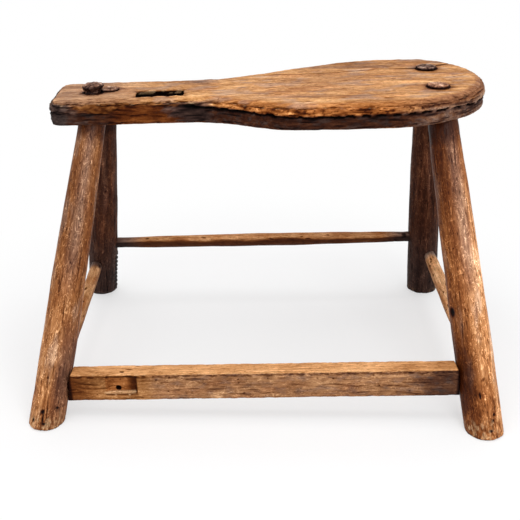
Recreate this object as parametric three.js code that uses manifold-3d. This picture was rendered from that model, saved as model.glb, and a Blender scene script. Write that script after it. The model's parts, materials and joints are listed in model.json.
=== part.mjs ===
// A saddler's work stool: a paddle-shaped plank seat staked on four splayed pole legs, which four
// stretchers tie together near the floor. Every joint is a tenon in a mortise cut from the same values.
//
// Millimetres, +Z up, +X toward the broad end of the seat, +Y toward the back. While the pieces are
// laid out, X starts at the narrow end of the seat, Y at the middle of its neck and Z at the floor.
// At the end the whole stool is moved so that the origin lies under the middle of its bounding box.

import * as THREE from "three";
import { mergeVertices } from "three/addons/utils/BufferGeometryUtils.js";
import Module from "manifold-3d";

const wasm = await Module();
wasm.setup();

// Clearance left all round wherever one piece is let into another or rests on it
const fit = 0.3;

// Seat plank
const seatLength = 702;
const neckWidth = 117; // at the narrow end
const neckFlare = 7; // how much the neck's back edge has moved out where the paddle begins
const neckLength = 235;
const paddleWidth = 287;
const paddleShift = 31; // the middle of the paddle lies this far behind the middle of the neck
const plankThickness = 40;
const neckHeight = 481; // height of the top face at the narrow end
const seatTilt = THREE.MathUtils.degToRad(1.5); // the top face rises toward the broad end
const topArris = 9; // worn round
const bottomArris = 5;
const neckCorner = 20;

// Slot through the neck
const slotLength = 74;
const slotWidth = 30;
const slotStart = 138; // from the narrow end
const slotShift = -20; // in front of the neck's middle line

// Legs
const taperPower = 2.2; // a leg is nearly parallel low down and thins near the seat
const coneLength = 22; // of the reamed shoulder that narrows a leg to its tenon
const tenonDiameterRight = 30;
const tenonDiameterLeft = 24;
const shoulderDiameterLeft = 43;
const footWear = 4.5; // how far the arris round a foot has worn in
const footWearSlope = 1.4; // how steeply the worn band climbs
const footFlare = 0.7; // above that band the level cut opens at this slope, clear of the leg

// Sockets in the seat's underside, in two pairs
const socketInsetLeft = 69; // from the narrow end to the middle of the left pair
const socketInsetRight = 76; // from the broad end to the middle of the right pair
const leftPairSkew = 4.4; // the rear socket lies this much further along than the pair's middle
const rightPairSkew = 1.5;
const leftPairShift = 2.5; // behind the neck's middle line
const rightPairShift = 1.5; // behind the paddle's middle line
const rightPairSpread = 146; // between the right sockets, front to back
const legGap = 1.5; // between the left legs where they enter the seat
const splayStretch = 1.127; // a splayed leg's section is this much longer along its lean
const leftPairSpread = shoulderDiameterLeft * splayStretch + legGap;

// Where tenons come out of the seat, shaved off their legs' own axes
const leftTenonLead = 9; // the left tenons come out this much further along than their sockets
const rightTenonLag = 7.5; // the rear right tenon comes out this much nearer the narrow end

// Tenon heads on the seat
const headDiameter = 36;
const headHeight = 5;
const lowHeadDiameter = 30;
const lowHeadHeight = 3;
const headUndercut = 0.8; // the rim of a head overhangs its foot by this much
const headRound = 1.6; // and its crown draws in by this much
const headRimShare = 0.4; // of the head's height, where the rim stands out
const headCrownShare = 0.8; // of the head's height, where the crown begins
const knobDiameter = 34;
const knobHeight = 15;
const knobNeckHeight = 5;
const knobUnderside = 2; // the knob's underside rises by this much to its rim
const knobRimHeight = 9.5;
const knobLean = 2.5; // the knob's crown stands this far toward the paddle
const knobFlats = 0.055; // of the knob's radius, how much wear has flattened and left proud round it

// Stretchers
const barHeight = 48;
const barDepth = 31;
const barArris = 2.5;
const barTenonDiameter = 20;
const rearStickEndDiameter = 20;
const rearStickMiddleDiameter = 24.5;
const sideStickEndDiameter = 21.5;
const leftStickMiddleDiameter = 23;
const rightStickMiddleDiameter = 26;
const mortiseWall = 3.2; // wood left in a leg between two mortises that pass each other
const widestTenon = Math.max(barTenonDiameter, rearStickEndDiameter, sideStickEndDiameter);
const tenonStandoff = widestTenon / 2 + mortiseWall; // a tenon stops this far from its leg's axis

// Recess with its hole in the face of the front stretcher, near the left leg
const recessLength = 49;
const recessHeight = 29;
const recessDepth = 4.5;
const recessStart = 61; // along the bar, from its left shoulder
const recessRise = 5; // above the bar's middle line
const recessSlant = 6; // the left end of the recess slopes by this much
const holeDiameter = 8;
const holeDepth = 20; // from the face of the bar
const holeFromRecessStart = 19;
const holeRise = -2; // above the bar's middle line

// Notches down the inner side of the rear left leg
const notchCount = 8;
const notchPitch = 12.6;
const notchDepth = 3;
const notchHeight = 5.6;
const notchLength = 26;
const lowestNotch = 24; // along the leg from the floor

// Smoothness
const roundSteps = 32;
const taperSteps = 10;
const arrisSteps = 4;
const outlineSteps = 108;
const crownSteps = 5;
const barArrisSteps = 3;

const xAxis = new THREE.Vector3(1, 0, 0);
const yAxis = new THREE.Vector3(0, 1, 0);
const reach = 1200; // longer than anything a cutter has to clear
const weld = 1e-4; // corners nearer than this are one corner

// Booleans

function toSolid(geometry) {
  const bare = geometry.clone();
  bare.deleteAttribute("normal");
  bare.deleteAttribute("uv");
  const merged = mergeVertices(bare, weld);
  const corners = merged.index.array;
  const kept = [];
  for (let i = 0; i < corners.length; i += 3) {
    const [a, b, c] = corners.slice(i, i + 3);
    if (a !== b && b !== c && c !== a) kept.push(a, b, c);
  }
  const mesh = new wasm.Mesh({
    numProp: 3,
    vertProperties: merged.attributes.position.array,
    triVerts: new Uint32Array(kept),
  });
  return new wasm.Manifold(mesh);
}

function toGeometry(solid) {
  const mesh = solid.getMesh();
  const geometry = new THREE.BufferGeometry();
  geometry.setAttribute("position", new THREE.Float32BufferAttribute(mesh.vertProperties, 3));
  geometry.setIndex(new THREE.Uint32BufferAttribute(mesh.triVerts, 1));
  geometry.computeVertexNormals();
  return geometry;
}

/** The geometry, drawn in frame `from`, as a solid in frame `to`. */
function solidIn(to, from, geometry) {
  const move = to.clone().invert().multiply(from);
  return toSolid(geometry.clone().applyMatrix4(move));
}

/** A frame at `from` whose z axis points to `to` and whose x axis keeps close to `side`. */
function frameAlong(from, to, side) {
  const z = to.clone().sub(from).normalize();
  const y = z.clone().cross(side).normalize();
  const x = y.clone().cross(z);
  return new THREE.Matrix4().makeBasis(x, y, z).setPosition(from);
}

/** A turned shape about the z axis, from [radius, height] pairs that start and end on the axis. */
function turned(profile, steps = roundSteps) {
  const points = profile.map(([radius, height]) => new THREE.Vector2(radius, height));
  return new THREE.LatheGeometry(points, steps).rotateX(Math.PI / 2);
}

function rod(diameter, start, end) {
  return turned([[0, start], [diameter / 2, start], [diameter / 2, end], [0, end]]);
}

/** A block that fills one side of the plane x = `face`, toward `direction` (1 or -1). */
function halfSpaceX(face, direction) {
  return new THREE.BoxGeometry(reach, reach, reach).translate(face + (direction * reach) / 2, 0, 0);
}

// Seat

const seatFrame = new THREE.Matrix4().makeRotationY(-seatTilt).setPosition(0, 0, neckHeight);

// Where the paddle's edge turns, as shares of the way from the end of the neck to the tip
const frontEdge = { leaves: 0.125, swells: 0.22, straightFrom: 0.37, straightTo: 0.615, turnsIn: 0.815 };
const backEdge = { leaves: 0.19, swells: 0.445, widest: 0.71, turnsIn: 0.89 };
const neckEase = new THREE.Vector2(1, 2); // how far the edge eases out before it swells, front and back

// The tip of the paddle, and how full its two corners are (1 would be square)
const tipShift = 29; // behind the neck's middle line
const frontFullness = 0.57;
const backFullness = 0.63;

/** The seat's outline, anticlockwise from above: a square-ended neck that swells into a round paddle. */
function seatOutline() {
  const end = seatLength;
  const neckFront = -neckWidth / 2;
  const neckBack = neckWidth / 2;
  const front = paddleShift - paddleWidth / 2;
  const back = paddleShift + paddleWidth / 2;
  const frontPull = tipShift + frontFullness * (front - tipShift);
  const backPull = tipShift + backFullness * (back - tipShift);
  const onFront = (turn) => neckLength + frontEdge[turn] * (seatLength - neckLength);
  const onBack = (turn) => neckLength + backEdge[turn] * (seatLength - neckLength);
  const frontSwell = [onFront("leaves"), neckFront - neckEase.x, onFront("swells"), front];
  const backSwell = [onBack("swells"), back, onBack("leaves"), neckBack + neckFlare + neckEase.y];

  const shape = new THREE.Shape();
  shape.moveTo(neckCorner, neckFront);
  shape.lineTo(neckLength, neckFront);
  shape.bezierCurveTo(...frontSwell, onFront("straightFrom"), front);
  shape.lineTo(onFront("straightTo"), front);
  shape.bezierCurveTo(onFront("turnsIn"), front, end, frontPull, end, tipShift);
  shape.bezierCurveTo(end, backPull, onBack("turnsIn"), back, onBack("widest"), back);
  shape.bezierCurveTo(...backSwell, neckLength, neckBack + neckFlare);
  shape.lineTo(neckCorner, neckBack);
  shape.quadraticCurveTo(0, neckBack, 0, neckBack - neckCorner);
  shape.lineTo(0, neckFront + neckCorner);
  shape.quadraticCurveTo(0, neckFront, neckCorner, neckFront);
  return shape.getSpacedPoints(outlineSteps).slice(0, -1);
}

/** The points of an anticlockwise outline moved inward by `inset`. */
function insetOutline(outline, inset) {
  return outline.map((point, i) => {
    const next = outline[(i + 1) % outline.length];
    const last = outline[(i + outline.length - 1) % outline.length];
    const along = next.clone().sub(last).normalize();
    return new THREE.Vector2(point.x - along.y * inset, point.y + along.x * inset);
  });
}

/** How far the plank's edge draws in at each height, from the underside up to the top face at z = 0. */
function plankEdge() {
  const edge = [];
  for (let i = 0; i <= arrisSteps; i++) {
    const angle = (Math.PI / 2) * (i / arrisSteps);
    edge.push([bottomArris * (1 - Math.sin(angle)), bottomArris * (1 - Math.cos(angle)) - plankThickness]);
  }
  for (let i = 0; i <= arrisSteps; i++) {
    const angle = (Math.PI / 2) * (i / arrisSteps);
    edge.push([topArris * (1 - Math.cos(angle)), topArris * (Math.sin(angle) - 1)]);
  }
  return edge;
}

/** A closed body lofted through rings of equal length, lowest first, with a flat cap at each end. */
function loft(rings) {
  const count = rings[0].length;
  const position = rings.flat().flatMap((point) => [point.x, point.y, point.z]);
  const index = [];
  for (let r = 0; r + 1 < rings.length; r++) {
    for (let i = 0; i < count; i++) {
      const a = r * count + i;
      const b = r * count + ((i + 1) % count);
      index.push(a, b, b + count, a, b + count, a + count);
    }
  }
  const top = (rings.length - 1) * count;
  const flat = rings[0].map((point) => new THREE.Vector2(point.x, point.y));
  for (const [a, b, c] of THREE.ShapeUtils.triangulateShape(flat, [])) {
    index.push(a, c, b, top + a, top + b, top + c);
  }
  const geometry = new THREE.BufferGeometry();
  geometry.setAttribute("position", new THREE.Float32BufferAttribute(position, 3));
  geometry.setIndex(index);
  return geometry;
}

function plank() {
  const outline = seatOutline();
  const rings = plankEdge().map(([inset, height]) =>
    insetOutline(outline, inset).map((point) => new THREE.Vector3(point.x, point.y, height)),
  );
  return loft(rings);
}

function slot() {
  const box = new THREE.BoxGeometry(slotLength, slotWidth, reach);
  return box.translate(slotStart + slotLength / 2, slotShift, 0);
}

// Legs

/** The point above (x, y) on the plane that lies `depth` below the seat's top face. */
function onSeat([x, y], depth) {
  const height = neckHeight + x * Math.tan(seatTilt) - depth / Math.cos(seatTilt);
  return new THREE.Vector3(x, y, height);
}

// Each leg's socket as [x, y], and its splay: how far its foot stands out from its socket in x and y
const rightSocketX = seatLength - socketInsetRight;
const rightSocketY = paddleShift + rightPairShift;
const legSpecs = {
  front_left_leg: {
    socket: [socketInsetLeft - leftPairSkew, leftPairShift - leftPairSpread / 2],
    splay: [-75.5, -206.5],
    footDiameter: 57.5,
    shoulderDiameter: shoulderDiameterLeft,
    tenonDiameter: tenonDiameterLeft,
    head: knob,
  },
  rear_left_leg: {
    socket: [socketInsetLeft + leftPairSkew, leftPairShift + leftPairSpread / 2],
    splay: [-65.5, 205],
    footDiameter: 57,
    shoulderDiameter: shoulderDiameterLeft,
    tenonDiameter: tenonDiameterLeft,
    head: () => mushroom(lowHeadDiameter, lowHeadHeight),
  },
  front_right_leg: {
    socket: [rightSocketX - rightPairSkew, rightSocketY - rightPairSpread / 2],
    splay: [69.5, -211],
    footDiameter: 62,
    shoulderDiameter: 47,
    tenonDiameter: tenonDiameterRight,
    head: () => mushroom(headDiameter, headHeight),
  },
  rear_right_leg: {
    socket: [rightSocketX + rightPairSkew, rightSocketY + rightPairSpread / 2],
    splay: [45, 132],
    footDiameter: 60.5,
    shoulderDiameter: 46,
    tenonDiameter: tenonDiameterRight,
    head: () => mushroom(headDiameter, headHeight),
  },
};

/** Works out a leg's frame, its lengths along its own axis and where that axis leaves the seat. */
function layOutLeg(spec) {
  const socket = onSeat(spec.socket, plankThickness);
  const foot = new THREE.Vector3(socket.x + spec.splay[0], socket.y + spec.splay[1], 0);
  const slope = socket.clone().sub(foot);
  const normal = new THREE.Vector3(-Math.sin(seatTilt), 0, Math.cos(seatTilt));
  const shoulder = slope.length();
  const top = shoulder + (plankThickness * shoulder) / slope.dot(normal);
  const exit = foot.clone().addScaledVector(slope, top / shoulder);
  const direction = slope.clone().normalize();
  return { ...spec, frame: frameAlong(foot, socket, xAxis), shoulder, top, exit, direction, tenonShift: 0 };
}

/** Shaves a leg's tenon off the leg's own axis, so that it comes out of the seat at `x`. */
function shaveTenon(leg, x) {
  leg.tenonShift = x - leg.exit.x;
  leg.exit = onSeat([x, leg.exit.y], 0);
}

const legs = {};
for (const [name, spec] of Object.entries(legSpecs)) {
  legs[name] = layOutLeg(spec);
}

/** The left tenons lean together, so they are shaved apart until the low head clears the knob's neck. */
function partLeftTenons() {
  const { front_left_leg: front, rear_left_leg: rear } = legs;
  const apart = (tenonDiameterLeft * splayStretch + lowHeadDiameter) / 2 + 2 * fit;
  const apartY = rear.exit.y - front.exit.y;
  const apartX = Math.sqrt(Math.max(0, apart ** 2 - apartY ** 2));
  const middle = socketInsetLeft + leftTenonLead;
  shaveTenon(front, middle - apartX / 2);
  shaveTenon(rear, middle + apartX / 2);
}

partLeftTenons();
shaveTenon(legs.rear_right_leg, rightSocketX - rightTenonLag);

/** The leg's radius at a distance along its axis from the floor. */
function legRadius(leg, along) {
  const share = Math.max(0, along / leg.shoulder);
  const foot = leg.footDiameter / 2;
  return foot - (foot - leg.shoulderDiameter / 2) * share ** taperPower;
}

/** Moves everything above the shoulder sideways, so that the tenon stands off the leg's own axis. */
function shiftTenon(geometry, leg) {
  const position = geometry.attributes.position;
  for (let i = 0; i < position.count; i++) {
    const rise = (position.getZ(i) - leg.shoulder) / coneLength;
    position.setX(i, position.getX(i) + leg.tenonShift * THREE.MathUtils.clamp(rise, 0, 1));
  }
  return geometry;
}

/** The shoulder cone and the tenon, run on well past the seat, made bigger all round by `grow`. */
function tenonProfile(leg, grow) {
  const shoulder = leg.shoulderDiameter / 2 + grow;
  const tenon = leg.tenonDiameter / 2 + grow;
  const end = leg.top + plankThickness;
  return [[shoulder, leg.shoulder], [tenon, leg.shoulder + coneLength], [tenon, end], [0, end]];
}

/** A leg before its foot, mortises and head are cut: a tapered pole that starts below the floor. */
function pole(leg) {
  const start = -leg.footDiameter / 2;
  const profile = [[0, start], [leg.footDiameter / 2, start]];
  for (let i = 1; i < taperSteps; i++) {
    const along = (leg.shoulder * i) / taperSteps;
    profile.push([legRadius(leg, along), along]);
  }
  return shiftTenon(turned([...profile, ...tenonProfile(leg, 0)]), leg);
}

/** The reamed mortise for a leg, with the leg's own body below it. */
function seatMortise(leg) {
  const below = leg.shoulder - plankThickness;
  const start = [[0, below], [legRadius(leg, below) + fit, below]];
  return shiftTenon(turned([...start, ...tenonProfile(leg, fit)]), leg);
}

// Tenon heads, drawn standing on the seat's top face at z = 0

/** A head that the mallet and long use have spread over the seat. */
function mushroom(diameter, height) {
  const radius = diameter / 2;
  return turned([
    [0, fit],
    [radius - headUndercut, fit],
    [radius, height * headRimShare],
    [radius - headRound, height * headCrownShare],
    [0, height],
  ]);
}

/** Makes a turned knob a worn lump: its crown leans, and its rim is flat in places and proud in others. */
function wearKnob(geometry) {
  const places = geometry.attributes.position;
  for (let i = 0; i < places.count; i++) {
    const angle = Math.atan2(places.getY(i), places.getX(i));
    const rise = Math.max(0, places.getZ(i) - knobNeckHeight) / (knobHeight - knobNeckHeight);
    const swell = 1 + Math.min(1, 2 * rise) * knobFlats * (Math.cos(2 * angle - 1) + Math.cos(3 * angle + 1));
    places.setX(i, places.getX(i) * swell + knobLean * rise);
    places.setY(i, places.getY(i) * swell);
  }
  return geometry;
}

/** A head left standing proud: a short neck under a worn knob. */
function knob() {
  const radius = knobDiameter / 2;
  const neck = tenonDiameterLeft / 2;
  const rim = new THREE.Vector2(radius, knobRimHeight);
  const corner = new THREE.Vector2(radius, knobHeight);
  const top = new THREE.Vector2(0, knobHeight);
  const dome = new THREE.QuadraticBezierCurve(rim, corner, top).getPoints(crownSteps);
  const lump = turned([
    [0, fit],
    [neck, fit],
    [neck, knobNeckHeight],
    [radius - headRound, knobNeckHeight + knobUnderside],
    ...dome.map((point) => [point.x, point.y]),
  ]);
  return wearKnob(lump);
}

/** The floor side of a foot: a shallow bowl that wears the arris away and cuts the leg off level. */
function wornFoot(leg) {
  const radius = (leg.footDiameter / 2) * splayStretch;
  return turned([
    [0, 0],
    [radius - footWear, 0],
    [radius, footWear * footWearSlope],
    [reach, reach * footFlare],
    [0, reach * footFlare],
  ]);
}

// Stretchers

/** Where a leg's axis is at a height above the floor, moved sideways along X. */
function legAt(leg, height, aside = 0) {
  const foot = new THREE.Vector3().setFromMatrixPosition(leg.frame);
  foot.addScaledVector(leg.direction, height / leg.direction.z);
  foot.x += aside;
  return foot;
}

/** How much of a tenon lies in its leg, on its longer side, because it goes in at a slant. */
function tenonLength(leg, height, run, diameter) {
  const slant = run.angleTo(leg.direction);
  const surface = (legRadius(leg, height) + (diameter / 2) * Math.abs(Math.cos(slant))) / Math.sin(slant);
  return surface + fit - tenonStandoff;
}

/** Works out a stretcher's frame, its length from tenon end to tenon end and its tenons' lengths. */
function layOutStretcher({ from, to, side, ...rest }) {
  const startLeg = legs[from.leg];
  const endLeg = legs[to.leg];
  const start = legAt(startLeg, from.height, from.aside);
  const end = legAt(endLeg, to.height, to.aside);
  const run = end.clone().sub(start).normalize();
  start.addScaledVector(run, tenonStandoff);
  end.addScaledVector(run, -tenonStandoff);
  return {
    ...rest,
    from,
    to,
    frame: frameAlong(start, end, side),
    length: start.distanceTo(end),
    startTenon: tenonLength(startLeg, from.height, run, rest.endDiameter),
    endTenon: tenonLength(endLeg, to.height, run, rest.endDiameter),
  };
}

const stretchers = {
  front_stretcher: layOutStretcher({
    from: { leg: "front_left_leg", height: 54.5 },
    to: { leg: "front_right_leg", height: 75.5 },
    side: yAxis,
    endDiameter: barTenonDiameter,
  }),
  rear_stretcher: layOutStretcher({
    from: { leg: "rear_left_leg", height: 133 },
    to: { leg: "rear_right_leg", height: 135 },
    side: yAxis,
    endDiameter: rearStickEndDiameter,
    middleDiameter: rearStickMiddleDiameter,
  }),
  left_stretcher: layOutStretcher({
    from: { leg: "front_left_leg", height: 57, aside: 4 },
    to: { leg: "rear_left_leg", height: 88, aside: -8 },
    side: xAxis.clone().negate(),
    endDiameter: sideStickEndDiameter,
    middleDiameter: leftStickMiddleDiameter,
  }),
  right_stretcher: layOutStretcher({
    from: { leg: "front_right_leg", height: 93, aside: 1 },
    to: { leg: "rear_right_leg", height: 100, aside: 9 },
    side: xAxis.clone().negate(),
    endDiameter: sideStickEndDiameter,
    middleDiameter: rightStickMiddleDiameter,
  }),
};

/** A round stick with parallel tenons, which swells evenly to its middle. */
function stick({ length, startTenon, endTenon, endDiameter, middleDiameter }) {
  const swollen = length - startTenon - endTenon;
  const profile = [[0, 0], [endDiameter / 2, 0]];
  for (let i = 0; i <= taperSteps; i++) {
    const share = i / taperSteps;
    const swell = Math.sin(Math.PI * share) * (middleDiameter - endDiameter);
    profile.push([(endDiameter + swell) / 2, startTenon + share * swollen]);
  }
  profile.push([endDiameter / 2, length], [0, length]);
  return turned(profile);
}

/** The blind mortise for one end of a stretcher, reaching out of the leg as far as its middle. */
function stretcherMortise({ length, endDiameter }, atStart) {
  const bore = endDiameter + 2 * fit;
  return atStart ? rod(bore, -fit, length / 2) : rod(bore, length / 2, length + fit);
}

/** The bar's rectangular section with its small arrises, drawn in x (depth) and y (height). */
function barSection() {
  const x = barDepth / 2;
  const y = barHeight / 2;
  const section = new THREE.Shape();
  section.moveTo(barArris - x, -y);
  section.lineTo(x - barArris, -y);
  section.quadraticCurveTo(x, -y, x, barArris - y);
  section.lineTo(x, y - barArris);
  section.quadraticCurveTo(x, y, x - barArris, y);
  section.lineTo(barArris - x, y);
  section.quadraticCurveTo(-x, y, -x, y - barArris);
  section.lineTo(-x, barArris - y);
  section.quadraticCurveTo(-x, -y, barArris - x, -y);
  return section;
}

/** The recess in the bar's front face: square at its right end, sloping in at its left end. */
function recess(start) {
  const floor = recessDepth - barDepth / 2;
  const past = floor - 2 * recessDepth;
  const end = start + recessLength;
  const shape = new THREE.Shape();
  shape.moveTo(past, start - recessSlant);
  shape.lineTo(floor, start + recessSlant);
  shape.lineTo(floor, end);
  shape.lineTo(past, end);
  const cut = new THREE.ExtrudeGeometry(shape, { depth: recessHeight, bevelEnabled: false });
  return cut.rotateX(Math.PI / 2).translate(0, recessRise + recessHeight / 2, 0);
}

/** The bar, its shoulders cut to the lean of the legs, with round tenons, the recess and its hole. */
function frontStretcher(bar) {
  const left = legs[bar.from.leg];
  const right = legs[bar.to.leg];
  const leftFace = legRadius(left, 0) + fit;
  const rightFace = -legRadius(right, 0) - fit;
  const options = { depth: bar.length, bevelEnabled: false, curveSegments: barArrisSteps };
  const recessFrom = leftFace - tenonStandoff + recessStart;
  const hole = rod(holeDiameter, -barDepth, holeDepth - barDepth / 2).rotateY(Math.PI / 2);
  hole.translate(0, holeRise, recessFrom + holeFromRecessStart);
  return toSolid(new THREE.ExtrudeGeometry(barSection(), options))
    .subtract(solidIn(bar.frame, left.frame, halfSpaceX(leftFace, -1)))
    .subtract(solidIn(bar.frame, right.frame, halfSpaceX(rightFace, 1)))
    .add(toSolid(rod(bar.endDiameter, 0, bar.length)))
    .subtract(toSolid(recess(recessFrom)))
    .subtract(toSolid(hole));
}

// Pieces

/** One notch: a wedge across the inner side of the leg, pointing at its axis. */
function notch(leg, along) {
  const radius = legRadius(leg, along);
  const shape = new THREE.Shape();
  shape.moveTo(radius - notchDepth, along);
  shape.lineTo(radius + notchDepth, along - notchHeight);
  shape.lineTo(radius + notchDepth, along + notchHeight);
  const wedge = new THREE.ExtrudeGeometry(shape, { depth: notchLength, bevelEnabled: false });
  return wedge.rotateX(Math.PI / 2).translate(0, notchLength / 2, 0);
}

/** Every stretcher mortise in a leg, each as a solid in the leg's frame. */
function mortisesIn(name) {
  const cuts = [];
  for (const stretcher of Object.values(stretchers)) {
    for (const end of ["from", "to"]) {
      if (stretcher[end].leg !== name) continue;
      cuts.push(solidIn(legs[name].frame, stretcher.frame, stretcherMortise(stretcher, end === "from")));
    }
  }
  return cuts;
}

function legSolid(name) {
  const leg = legs[name];
  const onTop = new THREE.Matrix4().makeRotationY(-seatTilt).setPosition(leg.exit);
  const onFloor = new THREE.Matrix4().copyPosition(leg.frame);
  const stub = lowHeadHeight / 2; // a tenon is sawn off inside its head
  const aboveStub = new THREE.BoxGeometry(reach, reach, reach).translate(0, 0, reach / 2 + stub);
  const whole = toSolid(pole(leg))
    .subtract(solidIn(leg.frame, onTop, aboveStub))
    .add(solidIn(leg.frame, onTop, leg.head()))
    .intersect(solidIn(leg.frame, onFloor, wornFoot(leg)));
  return mortisesIn(name).reduce((solid, cut) => solid.subtract(cut), whole);
}

/** The rear left leg alone carries the row of notches. */
function notchedLegSolid(name) {
  let solid = legSolid(name);
  for (let i = 0; i < notchCount; i++) {
    solid = solid.subtract(toSolid(notch(legs[name], lowestNotch + i * notchPitch)));
  }
  return solid;
}

function seatSolid() {
  let solid = toSolid(plank()).subtract(toSolid(slot()));
  for (const leg of Object.values(legs)) {
    solid = solid.subtract(solidIn(seatFrame, leg.frame, seatMortise(leg)));
  }
  return solid;
}

// The stool, in old oiled wood

const stool = new THREE.Group();
stool.name = "saddlers_stool";

function addPiece(name, solid, frame, color, roughness) {
  const material = new THREE.MeshStandardMaterial({ color, roughness, metalness: 0 });
  const mesh = new THREE.Mesh(toGeometry(solid), material);
  mesh.name = name;
  mesh.position.setFromMatrixPosition(frame);
  mesh.quaternion.setFromRotationMatrix(frame);
  stool.add(mesh);
}

function addLeg(name, solid, color, roughness) {
  addPiece(name, solid, legs[name].frame, color, roughness);
}

function addStretcher(name, solid, color, roughness) {
  addPiece(name, solid, stretchers[name].frame, color, roughness);
}

addPiece("seat", seatSolid(), seatFrame, 0x9a6234, 0.55);
addLeg("front_left_leg", legSolid("front_left_leg"), 0x8a5634, 0.5);
addLeg("rear_left_leg", notchedLegSolid("rear_left_leg"), 0x4b3123, 0.55);
addLeg("front_right_leg", legSolid("front_right_leg"), 0x8c5530, 0.5);
addLeg("rear_right_leg", legSolid("rear_right_leg"), 0x55382a, 0.55);
addStretcher("front_stretcher", frontStretcher(stretchers.front_stretcher), 0x9b6636, 0.6);
for (const name of ["rear_stretcher", "left_stretcher", "right_stretcher"]) {
  addStretcher(name, toSolid(stick(stretchers[name])), 0xa06c3e, 0.6);
}

// The origin goes to the middle of the bounding box, at floor level
stool.updateMatrixWorld(true);
const bounds = new THREE.Box3().setFromObject(stool, true);
const middle = bounds.getCenter(new THREE.Vector3());
stool.position.set(-middle.x, -middle.y, -bounds.min.z);

export default stool;
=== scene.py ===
"""A saddler's stool in old worn wood: the finish of each piece, the floor, the light and the camera.

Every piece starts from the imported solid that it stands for. Its surface is drawn again as a fine even net,
which is then pushed in and out by wear, torn grain, checks, gouges and chips. The same marks are kept on the
points of the net, and the wood's colour, gloss and bump read them there. Lengths are millimetres, apart from
those of the floor, the lamps and the camera, which are metres. The salt that a noise or a strewing of marks
is given picks its pattern.
"""

import itertools
import json
import math

import bmesh
import bpy
import numpy as np
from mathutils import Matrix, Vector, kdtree

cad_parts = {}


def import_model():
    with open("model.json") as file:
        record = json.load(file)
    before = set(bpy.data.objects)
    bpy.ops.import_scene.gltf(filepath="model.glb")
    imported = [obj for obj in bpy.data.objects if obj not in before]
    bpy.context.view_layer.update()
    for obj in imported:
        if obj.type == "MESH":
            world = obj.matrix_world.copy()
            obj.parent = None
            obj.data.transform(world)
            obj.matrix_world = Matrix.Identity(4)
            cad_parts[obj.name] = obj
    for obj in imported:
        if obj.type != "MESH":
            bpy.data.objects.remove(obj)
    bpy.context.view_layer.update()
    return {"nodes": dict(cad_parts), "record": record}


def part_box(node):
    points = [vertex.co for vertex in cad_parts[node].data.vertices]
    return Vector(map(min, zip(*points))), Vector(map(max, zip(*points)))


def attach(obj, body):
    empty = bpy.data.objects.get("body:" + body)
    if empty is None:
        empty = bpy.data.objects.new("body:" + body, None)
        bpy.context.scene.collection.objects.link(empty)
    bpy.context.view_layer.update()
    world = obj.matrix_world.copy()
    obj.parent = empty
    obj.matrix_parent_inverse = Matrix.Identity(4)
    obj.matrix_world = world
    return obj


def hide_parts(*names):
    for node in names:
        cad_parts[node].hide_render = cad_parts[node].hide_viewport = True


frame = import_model()

MM = 0.001
SEED = 7

# Nets: the size of a face on each kind of piece, and how the CAD surface is made ready for them
SEAT_NET = 1.8
LEG_NET = 1.2
BAR_NET = 1.2
STICK_NET = 1.1
WELD_DISTANCE = 0.001
SOFTENING = 0.5  # how much of the way each point moves toward its neighbours, in one turn
SOFTENING_TURNS = 2

# Where the frame has things
ROOT = "root"
MOUNTS = {mount["name"]: mount for mount in frame["record"]["mounts"]}
SEAT_UP = np.array(MOUNTS["seat_top"]["axis"])
SEAT_ALONG = np.array([SEAT_UP[2], 0, -SEAT_UP[0]])
SEAT_ACROSS = np.array([0, 1, 0])
SEAT_MOUNT = np.array(MOUNTS["seat_top"]["pos_m"]) / MM
SEAT_MOUNT_ALONG = 430  # the seat's mount lies this far from its narrow end
SEAT_MOUNT_ACROSS = 31  # and this far behind the neck's middle line
SEAT_ORIGIN = SEAT_MOUNT - SEAT_ALONG * SEAT_MOUNT_ALONG - SEAT_ACROSS * SEAT_MOUNT_ACROSS
LEG_SPLAY = {  # from a leg's socket in the seat's underside to its foot, along X and Y
    "front_left_leg": (-75.5, -206.5),
    "rear_left_leg": (-65.5, 205),
    "front_right_leg": (69.5, -211),
    "rear_right_leg": (45, 132),
}
LEG_LENGTH = 490  # from the floor to the seat's underside, along a leg
POLE_RADIUS = 28
STICK_RADIUS = 11
OPENINGS = {opening["name"]: opening["box_m"] for opening in frame["record"]["physics"]["openings"]}
BAR_HOLE = np.mean(OPENINGS["bar_hole"], axis=0) / MM  # the middle of the hole in the front bar

# How a deeper tone changes the wood's colour
TONE_SATURATION = 0.5
TONE_DARKENING = 0.4


# Repeatable noise

CORNERS = list(itertools.product((0, 1), repeat=3))
WAYS = itertools.product((-1, 0, 1), repeat=3)
DIRECTIONS = np.array([way for way in WAYS if np.abs(way).sum() == 2], float)
LOW_BITS = 0xFFFFFFFF  # keeps a whole number to 32 bits
# What whole numbers are multiplied by and shifted by, so that their bits are well mixed
AXIS_FACTORS = np.array([0x8DA6B343, 0xD8163841, 0xCB1AB31F], np.uint32)
SALT_FACTOR = 0x9E3779B1
MIXING_TURNS = ((15, 0x2C1B3C6D), (12, 0x297A2D39))
LAST_SHIFT = 15
OCTAVE_SHIFT = 17.3  # sets each finer noise apart from the one before
NOISE_LINE = (37.0, 61.0)  # where the line lies that is read for noise along one direction only
LEAN = 0.12  # the most that a strewn mark leans from the grain, as a slope
LEAST_WIDTH = 0.2  # what is added to a strewn mark's half width, so that its tips keep some


def hashed(cells, salt):
    """A repeatable whole number for each whole-numbered cell."""
    x, y, z = ((cells & LOW_BITS).astype(np.uint32) * AXIS_FACTORS).T
    mixed = x ^ y ^ z
    mixed ^= np.uint32((salt + SEED) * SALT_FACTOR & LOW_BITS)
    for shift, factor in MIXING_TURNS:
        mixed ^= mixed >> np.uint32(shift)
        mixed *= np.uint32(factor)
    return mixed ^ (mixed >> np.uint32(LAST_SHIFT))


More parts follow.
